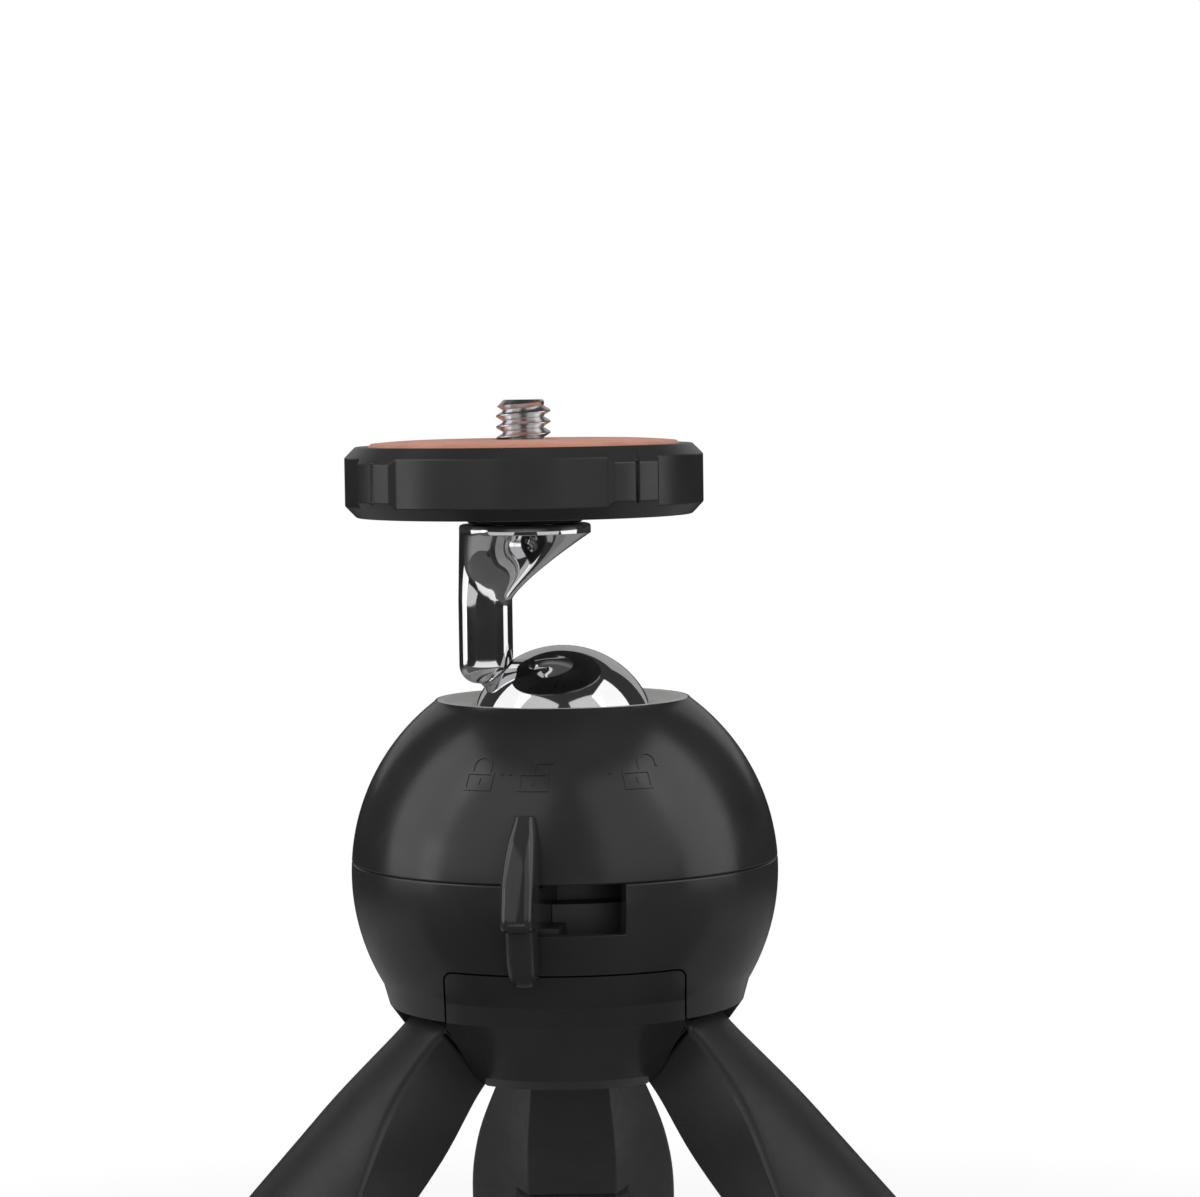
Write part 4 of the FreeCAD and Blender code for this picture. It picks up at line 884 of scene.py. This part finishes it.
def thread_form(low_z):
    """Real thread with a chamfered tip: one turn's section swept along the helix, then cut level."""
    turns = int((SCREW_TIP_Z - low_z) / SCREW_PITCH) + 3
    steps = 64 * turns
    start = low_z - 1.5 * SCREW_PITCH
    root_end = SCREW_ROOT_R + SCREW_ROUND
    crest_start = SCREW_R - SCREW_CREST_ROUND
    # Radius, and height as a share of the pitch
    section = [
        (SCREW_ROOT_R, 0.0),
        (root_end, 0.1),
        (crest_start, 0.4),
        (SCREW_R, 0.47),
        (SCREW_R, 0.55),
        (crest_start, 0.62),
        (root_end, 0.92),
        (SCREW_ROOT_R, 1.0),
    ]
    bm = bmesh.new()
    verts = [bm.verts.new((PLATFORM_X + r, 0, start + share * SCREW_PITCH)) for r, share in section]
    edges = [bm.edges.new(pair) for pair in zip(verts, verts[1:])]
    bmesh.ops.spin(bm, geom=verts + edges, cent=(PLATFORM_X, 0, 0), axis=(0, 0, 1),
                   dvec=(0, 0, SCREW_PITCH * turns / steps), angle=2 * math.pi * turns, steps=steps,
                   use_merge=False, use_duplicate=False)
    bmesh.ops.remove_doubles(bm, verts=bm.verts, dist=0.004)
    for v in bm.verts:
        reach = math.hypot(v.co.x - PLATFORM_X, v.co.y)
        limit = SCREW_R - max(0.0, v.co.z - (SCREW_TIP_Z - SCREW_CHAMFER))
        if reach > limit > 0:
            v.co.x = PLATFORM_X + (v.co.x - PLATFORM_X) * limit / reach
            v.co.y = v.co.y * limit / reach
    for z, up in ((low_z, -1), (SCREW_TIP_Z, 1)):
        trim(bm, (0, 0, z), (0, 0, up))
    close(bm)
    return bm


def make_camera_screw():
    """Thread, with the flange that holds the screw under the pad."""
    low_z = PAD_TOP_Z - SCREW_IN_PAD
    flange_top = PLATFORM_TOP_Z - PAD_SINK
    flange_foot = flange_top - SCREW_FLANGE_H
    profile = [
        (0, flange_foot),
        (SCREW_FLANGE_R, flange_foot),
        (SCREW_FLANGE_R, flange_top),
        (SCREW_NECK_R, flange_top),
        (SCREW_NECK_R, low_z),
        (0, low_z),
    ]
    screw = gathered([thread_form(low_z), spun(profile, PLATFORM_X, steps=64)])
    piece("camera_thread", screw, "platform", SCREW_METAL, ("camera_screw",), angle=40)


# Lever

def lever_ring(z, width, front):
    """Level section of the handle at the front, with rounded front corners."""
    half = width / 2
    flat = 0.1
    lead = 0.4
    corner = min(LEVER_CORNER, half - flat)
    right = [(half, -LEVER_BACK_R), (half, -front + corner + lead)]
    right += arc((half - corner, -front + corner), corner, 0, -90, 6)
    left = [(-x, y) for x, y in reversed(right)]
    return [Vector((x, y, z)) for x, y in right + left]


def smooth_between(stations, steps):
    """Stations with more rows between them, on a smooth curve through them."""
    rows = []
    count = len(stations)
    for i in range(count - 1):
        before = stations[max(i - 1, 0)]
        here, there = stations[i], stations[i + 1]
        after = stations[min(i + 2, count - 1)]
        for j in range(steps):
            t = j / steps
            row = []
            for a, b, c, d in zip(before, here, there, after):
                row.append(0.5 * (2 * b + (c - a) * t + (2 * a - 5 * b + 4 * c - d) * t * t
                                  + (3 * b - a - 3 * c + d) * t ** 3))
            rows.append(row)
    rows.append(list(stations[-1]))
    return rows


def make_lever():
    """Nose-shaped blade with a slimmer tail below it, and the shank that passes into the body."""
    nose = BODY_R + LEVER_REACH
    rise = LEVER_TOP - LEVER_STEP_Z
    drop = LEVER_STEP_Z - LEVER_BOTTOM
    blade = [
        (LEVER_TOP, LEVER_TOP_WIDTH, nose - 0.98 * LEVER_REACH),
        (LEVER_STEP_Z + 0.90 * rise, 0.76 * LEVER_WIDTH, nose - 0.78 * LEVER_REACH),
        (LEVER_STEP_Z + 0.75 * rise, 0.90 * LEVER_WIDTH, nose - 0.53 * LEVER_REACH),
        (LEVER_STEP_Z + 0.50 * rise, LEVER_WIDTH, nose - 0.22 * LEVER_REACH),
        (LEVER_STEP_Z + 0.25 * rise, LEVER_WIDTH, nose - 0.06 * LEVER_REACH),
        (LEVER_STEP_Z + 0.06 * rise, LEVER_WIDTH, nose - 0.01 * LEVER_REACH),
        (LEVER_STEP_Z, 0.96 * LEVER_WIDTH, nose - 0.08 * LEVER_REACH),
    ]
    tail = [
        (LEVER_STEP_Z + LEVER_OVERLAP, LEVER_TAIL_WIDTH, nose - 0.26 * LEVER_REACH),
        (LEVER_STEP_Z - 0.12 * drop, LEVER_TAIL_WIDTH, nose - 0.30 * LEVER_REACH),
        (LEVER_STEP_Z - 0.50 * drop, LEVER_TAIL_WIDTH, nose - 0.37 * LEVER_REACH),
        (LEVER_STEP_Z - 0.78 * drop, 0.94 * LEVER_TAIL_WIDTH, nose - 0.49 * LEVER_REACH),
        (LEVER_STEP_Z - 0.94 * drop, 0.82 * LEVER_TAIL_WIDTH, nose - 0.62 * LEVER_REACH),
        (LEVER_BOTTOM, 0.72 * LEVER_TAIL_WIDTH, nose - 0.76 * LEVER_REACH),
    ]
    handle = combined(lofted([lever_ring(*s) for s in smooth_between(blade, 6)]),
                      lofted([lever_ring(*s) for s in smooth_between(tail, 6)]), "UNION")
    room = bmesh.new()
    bmesh.ops.create_uvsphere(room, u_segments=96, v_segments=48, radius=BODY_R + OPEN_GAP)
    handle = combined(handle, room)
    half = SHANK_WIDTH / 2
    shank_low = SEAM_Z - SLOT_DEPTH + OPEN_GAP
    shank_high = SEAM_Z - OPEN_GAP
    shank = prism([(-half, shank_low), (half, shank_low), (half, shank_high), (-half, shank_high)],
                  SHANK_INNER_R - SHANK_OUTER_R, Matrix.Translation((0, -SHANK_INNER_R, 0)))
    lever = combined(handle, shank, "UNION")
    bmesh.ops.transform(lever, matrix=turn(LEVER_AZ), verts=lever.verts)
    piece("lever_handle", lever, "lever", LEVER_PLASTIC, ("lock_lever",), 0.08, 40)


# Legs

def leg_ring(z, half, outer, inner, band):
    """Section of a folded leg at the front: flat band inside, slanting sides, round back."""
    side_r = math.sqrt(outer ** 2 - half ** 2)
    corner = Vector((half, -side_r))
    foot = Vector((band, -inner))
    toward = (foot - corner).normalized()
    on_side = corner + toward * LEG_CORNER
    back_turn = math.asin(half / outer) - LEG_CORNER / outer
    on_back = Vector((outer * math.sin(back_turn), -outer * math.cos(back_turn)))
    side_steps = 3
    right = [foot.lerp(on_side, i / side_steps) for i in range(side_steps)]
    corner_steps = 5
    for i in range(corner_steps):
        t = i / corner_steps
        right.append(on_side * (1 - t) ** 2 + corner * 2 * t * (1 - t) + on_back * t ** 2)
    back_steps = 8
    for i in range(back_steps):
        a = back_turn * (1 - i / back_steps)
        right.append(Vector((outer * math.sin(a), -outer * math.cos(a))))
    points = [Vector((0, -inner))] + right + [Vector((0, -outer))]
    points += [Vector((-p.x, p.y)) for p in reversed(right)]
    return [Vector((p.x, p.y, z)) for p in points]


def station_z(share):
    """Height of a section of a folded leg, from its share of the way between tongue and tip."""
    return HINGE_Z - TONGUE_LENGTH - share * (LEG_LENGTH - TONGUE_LENGTH)


def leg_rows():
    return smooth_between(LEG_STATIONS, 6)


def leg_size_at(z):
    """Sizes of a folded leg's section at any height."""
    share = (station_z(0) - z) / (LEG_LENGTH - TONGUE_LENGTH)
    rows = leg_rows()
    for near, far in zip(rows, rows[1:]):
        if share <= far[0] or far is rows[-1]:
            t = (share - near[0]) / (far[0] - near[0])
            return [a + (b - a) * t for a, b in zip(near[1:], far[1:])]


def opened(azimuth):
    """Turns a folded leg at the front to its open place."""
    hinge = Matrix.Translation((0, -HINGE_R, HINGE_Z))
    return turn(azimuth) @ hinge @ Matrix.Rotation(math.radians(-LEG_OPEN), 4, "X") @ hinge.inverted()


def leg_tongue():
    """Tongue of a folded leg, with its boss round the hinge."""
    outer = HINGE_R + LEG_OUTER
    inner = HINGE_R - LEG_OUTER + TONGUE_IN
    low_z = station_z(LEG_STATIONS[0][0]) - TONGUE_OVERLAP
    meet = 180 + math.degrees(math.acos((HINGE_R - inner) / LEG_OUTER))
    outline = arc((HINGE_R, HINGE_Z), LEG_OUTER, 0, meet, 26) + [(inner, low_z), (outer, low_z)]
    upright = Matrix.Rotation(math.radians(-90), 4, "Z") @ Matrix.Translation((0, -TONGUE_WIDTH / 2, 0))
    tongue = prism(outline, TONGUE_WIDTH, upright)
    under_z = low_z - OVER
    high_z = HINGE_Z + LEG_OUTER + OVER
    room = spun([(0, under_z), (outer, under_z), (outer, high_z), (0, high_z)], steps=180, closed=False)
    return combined(tongue, room, "INTERSECT")


def foot_form(tip_z):
    """Rubber foot of a folded leg: a little larger than the leg, and rounded in at its end."""
    sizes = [(FOOT_LENGTH, FOOT_GROW)]
    round_steps = 8
    for i in range(round_steps + 1):
        a = math.radians(90 * i / round_steps)
        sizes.append((FOOT_ROUND * (1 - math.sin(a)), FOOT_GROW - FOOT_END_IN * (1 - math.cos(a))))
    rings = []
    for rise, grow in sizes:
        z = tip_z + rise
        half, outer, inner, band = leg_size_at(z)
        rings.append(leg_ring(z, half + grow, outer + grow, inner - grow, band + grow * FOOT_BAND_GROW))
    return lofted(rings)


def make_leg(number, azimuth):
    """Leg in three pieces, shaped folded at the front and then turned to its open place."""
    tip_z = HINGE_Z - LEG_LENGTH
    foot_z = tip_z + FOOT_LENGTH
    cover_top = HINGE_Z - COVER_START
    band_r = min(station[3] for station in LEG_STATIONS) + COVER_T
    form = lofted([leg_ring(station_z(share), *size) for share, *size in leg_rows()])
    cut_off(form, (0, 0, foot_z + FIT), (0, 0, -1))
    band = form.copy()
    shell = combined(form, leg_tongue(), "UNION")
    room_foot = foot_z - 5 * OVER
    room_outline = [(-BODY_R, room_foot), (BODY_R, room_foot), (BODY_R, cover_top), (-BODY_R, cover_top)]
    cover_room = prism(room_outline, 2 * BODY_R, Matrix.Translation((0, -band_r, 0)))
    shell = combined(shell, cover_room)
    cut_off(band, (0, 0, cover_top - FIT), (0, 0, 1))
    cut_off(band, (0, FIT - band_r, 0), (0, -1, 0))
    tip = foot_form(tip_z)
    for bm in (shell, band, tip):
        bmesh.ops.transform(bm, matrix=opened(azimuth), verts=bm.verts)
    cut_off(tip, (0, 0, FLOOR_Z), (0, 0, -1))
    body = "leg_%d" % number
    cover = "leg_cover_%d" % number
    foot = "foot_%d" % number
    piece("leg_shell_%d" % number, shell, body, LEG_PLASTIC, (body,), 0.22, 36)
    piece("leg_band_%d" % number, band, body, BAND_PLASTIC, (cover,), 0.2, 36)
    piece("leg_tip_%d" % number, tip, body, FOOT_RUBBER, (foot,), 0.2, 36)


# Pieces kept from the frame

def dress_nodes():
    """Finishes of the solids that are shown as they are in CAD."""
    finishes = (
        (BODY_PLASTIC, ("leg_hub",)),
        (SEAT_PLASTIC, ("upper_ball_seat", "lower_ball_seat")),
        (INNER_PLASTIC_PAINTED_FILL, ("socket_housing", "cam_ring", "pusher")),
        (WASHER_PLASTIC, ("friction_washer",)),
        (STEEL, ("disc_spring", "lever_screws", "arm_stud", "pivot_washer", "pivot_screw", "hub_screws",
                 "hinge_pin_1", "hinge_pin_2", "hinge_pin_3")),
    )
    for finish, names in finishes:
        for name in names:
            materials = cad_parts[name].data.materials
            materials.clear()
            materials.append(finish)


# Stage, light and camera

def make_stage():
    """White floor that keeps soft shadows near the feet and runs into the white backdrop further out.

    Reflections and bounced light see it darker, so that black pieces stay black underneath.
    """
    bm = bmesh.new()
    bmesh.ops.create_grid(bm, x_segments=1, y_segments=1, size=4.0)
    floor = to_object(bm, "floor")
    material, tree, shader, coords = new_material("white_floor")
    tree.nodes.remove(shader)
    out = tree.nodes["Material Output"]
    diffuse = tree.nodes.new("ShaderNodeBsdfDiffuse")
    away = tree.nodes.new("ShaderNodeVectorMath")
    away.operation = "LENGTH"
    tree.links.new(coords, away.inputs[0])
    cloud = noise(tree, coords, 3, 2)
    near = blend_colours(tree, cloud, grey(0.32), grey(0.36))
    outward = spread(tree, away.outputs["Value"], 0, 1, 0.25, 0.5)
    tone = blend_colours(tree, outward, grey(0), grey(0.08))
    tree.links.new(near, tone.node.inputs["A"])
    path = tree.nodes.new("ShaderNodeLightPath")
    shown = blend_colours(tree, path.outputs["Is Camera Ray"], grey(0), grey(0))
    tree.links.new(tone, shown.node.inputs["A"])
    white = blend_colours(tree, cloud, grey(0.78), grey(0.82))
    tree.links.new(white, shown.node.inputs["B"])
    tree.links.new(shown, diffuse.inputs["Color"])
    glow = tree.nodes.new("ShaderNodeEmission")
    glow.inputs["Color"].default_value = (1, 1, 1, 1)
    glow.inputs["Strength"].default_value = 1.0
    fade = spread(tree, away.outputs["Value"], 0.55, 1.0, 0.1, 0.24)
    seen = tree.nodes.new("ShaderNodeMath")
    seen.operation = "MULTIPLY"
    tree.links.new(path.outputs["Is Camera Ray"], seen.inputs[0])
    tree.links.new(fade, seen.inputs[1])
    mix = tree.nodes.new("ShaderNodeMixShader")
    tree.links.new(seen.outputs["Value"], mix.inputs["Fac"])
    tree.links.new(diffuse.outputs["BSDF"], mix.inputs[1])
    tree.links.new(glow.outputs["Emission"], mix.inputs[2])
    tree.links.new(mix.outputs["Shader"], out.inputs["Surface"])
    floor.data.materials.append(material)


def make_world():
    """White to the camera, a dark studio room to anything glossy, and soft grey fill otherwise."""
    world = bpy.data.worlds.new("studio")
    SCENE.world = world
    world.use_nodes = True
    tree = world.node_tree
    tree.nodes.clear()
    out = tree.nodes.new("ShaderNodeOutputWorld")
    path = tree.nodes.new("ShaderNodeLightPath")
    rooms = []
    for level in (ROOM_FILL, ROOM_GLOSS, ROOM_SHOWN):
        room = tree.nodes.new("ShaderNodeBackground")
        room.inputs["Color"].default_value = (1, 1, 1, 1)
        room.inputs["Strength"].default_value = level
        rooms.append(room)
    shown = rooms[0]
    for ray, room in (("Is Glossy Ray", rooms[1]), ("Is Camera Ray", rooms[2])):
        mix = tree.nodes.new("ShaderNodeMixShader")
        tree.links.new(path.outputs[ray], mix.inputs["Fac"])
        tree.links.new(shown.outputs[0], mix.inputs[1])
        tree.links.new(room.outputs["Background"], mix.inputs[2])
        shown = mix
    tree.links.new(shown.outputs[0], out.inputs["Surface"])


def soft_box(name, azimuth, elevation, width, height, level, in_gloss=True, away=0.7):
    """Lamp panel that faces the body; its level is the brightness of the panel, 1 being white."""
    light = bpy.data.lights.new(name, "AREA")
    light.shape = "RECTANGLE"
    light.size = width
    light.size_y = height
    light.energy = level * math.pi * width * height
    obj = bpy.data.objects.new(name, light)
    SCENE.collection.objects.link(obj)
    tilt = math.radians(elevation)
    middle = BODY_AT + Vector((0, 0, 0.01))
    offset = around(away * math.cos(tilt), azimuth, away * math.sin(tilt))
    obj.location = middle + offset
    obj.rotation_euler = (-offset).to_track_quat("-Z", "Y").to_euler()
    obj.visible_camera = False
    obj.visible_glossy = in_gloss


def reflected_sheet(name, bm, glow=0.0):
    """Cloth that only reflections see: dark for their dark cores, or glowing for their light bands."""
    wall = to_object(bm, name)
    material, tree, shader, coords = new_material(name + "_cloth")
    tone = blend_colours(tree, noise(tree, coords, 5, 2), grey(0.08), grey(0.1))
    tree.links.new(tone, shader.inputs["Base Color"])
    shader.inputs["Roughness"].default_value = 0.9
    shader.inputs["Emission Color"].default_value = (1, 1, 1, 1)
    shader.inputs["Emission Strength"].default_value = glow
    wall.data.materials.append(material)
    wall.visible_camera = False
    wall.visible_diffuse = False
    wall.visible_shadow = False


def curved_screen(start, span, low_z, high_z):
    """Upright screen round the body: its first azimuth, its span, and two heights from the body's middle."""
    screen = bmesh.new()
    foot = screen.verts.new(BODY_AT + around(SCREEN_R, start, low_z))
    head = screen.verts.new(BODY_AT + around(SCREEN_R, start, high_z))
    edge = screen.edges.new((foot, head))
    bmesh.ops.spin(screen, geom=[foot, head, edge], cent=BODY_AT, axis=(0, 0, 1), dvec=(0, 0, 0),
                   angle=math.radians(span), steps=32, use_merge=False, use_duplicate=False)
    return screen


def level_sheet(width, depth, forward):
    """Level sheet just over the floor, with its middle this far in front of the body."""
    sheet = bmesh.new()
    bmesh.ops.create_grid(sheet, x_segments=1, y_segments=1, size=0.5)
    bmesh.ops.scale(sheet, vec=(width, depth, 1), verts=sheet.verts)
    bmesh.ops.translate(sheet, vec=(BODY_AT.x, BODY_AT.y - forward, SHEET_RISE), verts=sheet.verts)
    return sheet


def make_lights():
    """Lamp panels, and the sheets that shape the reflections."""
    # Name, azimuth, elevation, width, height, level
    soft_box("left_box", -89, 25, 0.5, 0.83, 1.2)
    soft_box("left_strip", -74, 5, 0.16, 0.22, 0.9)
    soft_box("left_front_box", -43, 27, 0.7, 0.74, 0.62)
    soft_box("right_box", 85, 25, 0.5, 0.83, 1.2)
    soft_box("right_front_box", 42, 27, 0.55, 0.74, 0.62)
    soft_box("top_fill", 0, 84, 0.6, 0.5, 2.3, in_gloss=False, away=0.8)
    soft_box("front_fill", 8, 4, 0.3, 0.3, 2.0, in_gloss=False, away=0.6)
    reflected_sheet("dark_table", level_sheet(1.1, 0.42, 0.24))
    reflected_sheet("light_apron", level_sheet(0.8, 0.6, 0.76), 0.9)
    reflected_sheet("dark_screen", curved_screen(-70, 176, -BODY_AT.z, 0.2))
    reflected_sheet("light_backdrop", curved_screen(145, 70, 0.14, 0.9), 0.35)


def make_camera():
    """Camera at the photograph's place: 420 mm in front of the body, a little above it."""
    photo_width = 1200
    focal_px = 3600
    sensor = 36.0
    camera = bpy.data.cameras.new("camera")
    camera.sensor_fit = "HORIZONTAL"
    camera.sensor_width = sensor
    camera.lens = focal_px / photo_width * sensor
    camera.clip_start = 0.01
    obj = bpy.data.objects.new("camera", camera)
    SCENE.collection.objects.link(obj)
    place = BODY_AT + Vector(CAMERA_OFFSET_MM) * MM
    pitch = Matrix.Rotation(math.radians(90 - CAMERA_DIP), 4, "X")
    roll = Matrix.Rotation(math.radians(-CAMERA_ROLL), 4, "Z")
    obj.matrix_world = Matrix.Translation(place) @ pitch @ roll
    SCENE.camera = obj


make_camera()
make_upper_shell()
make_lower_shell()
make_lock_marks()
make_socket_ring()
make_ball()
make_arm()
make_collar()
make_platform()
make_pad()
make_camera_screw()
make_lever()
for leg_number, leg_azimuth in enumerate(LEG_AZIMUTHS, 1):
    make_leg(leg_number, leg_azimuth)
dress_nodes()
make_stage()
make_world()
make_lights()

SCENE.view_settings.view_transform = "Standard"
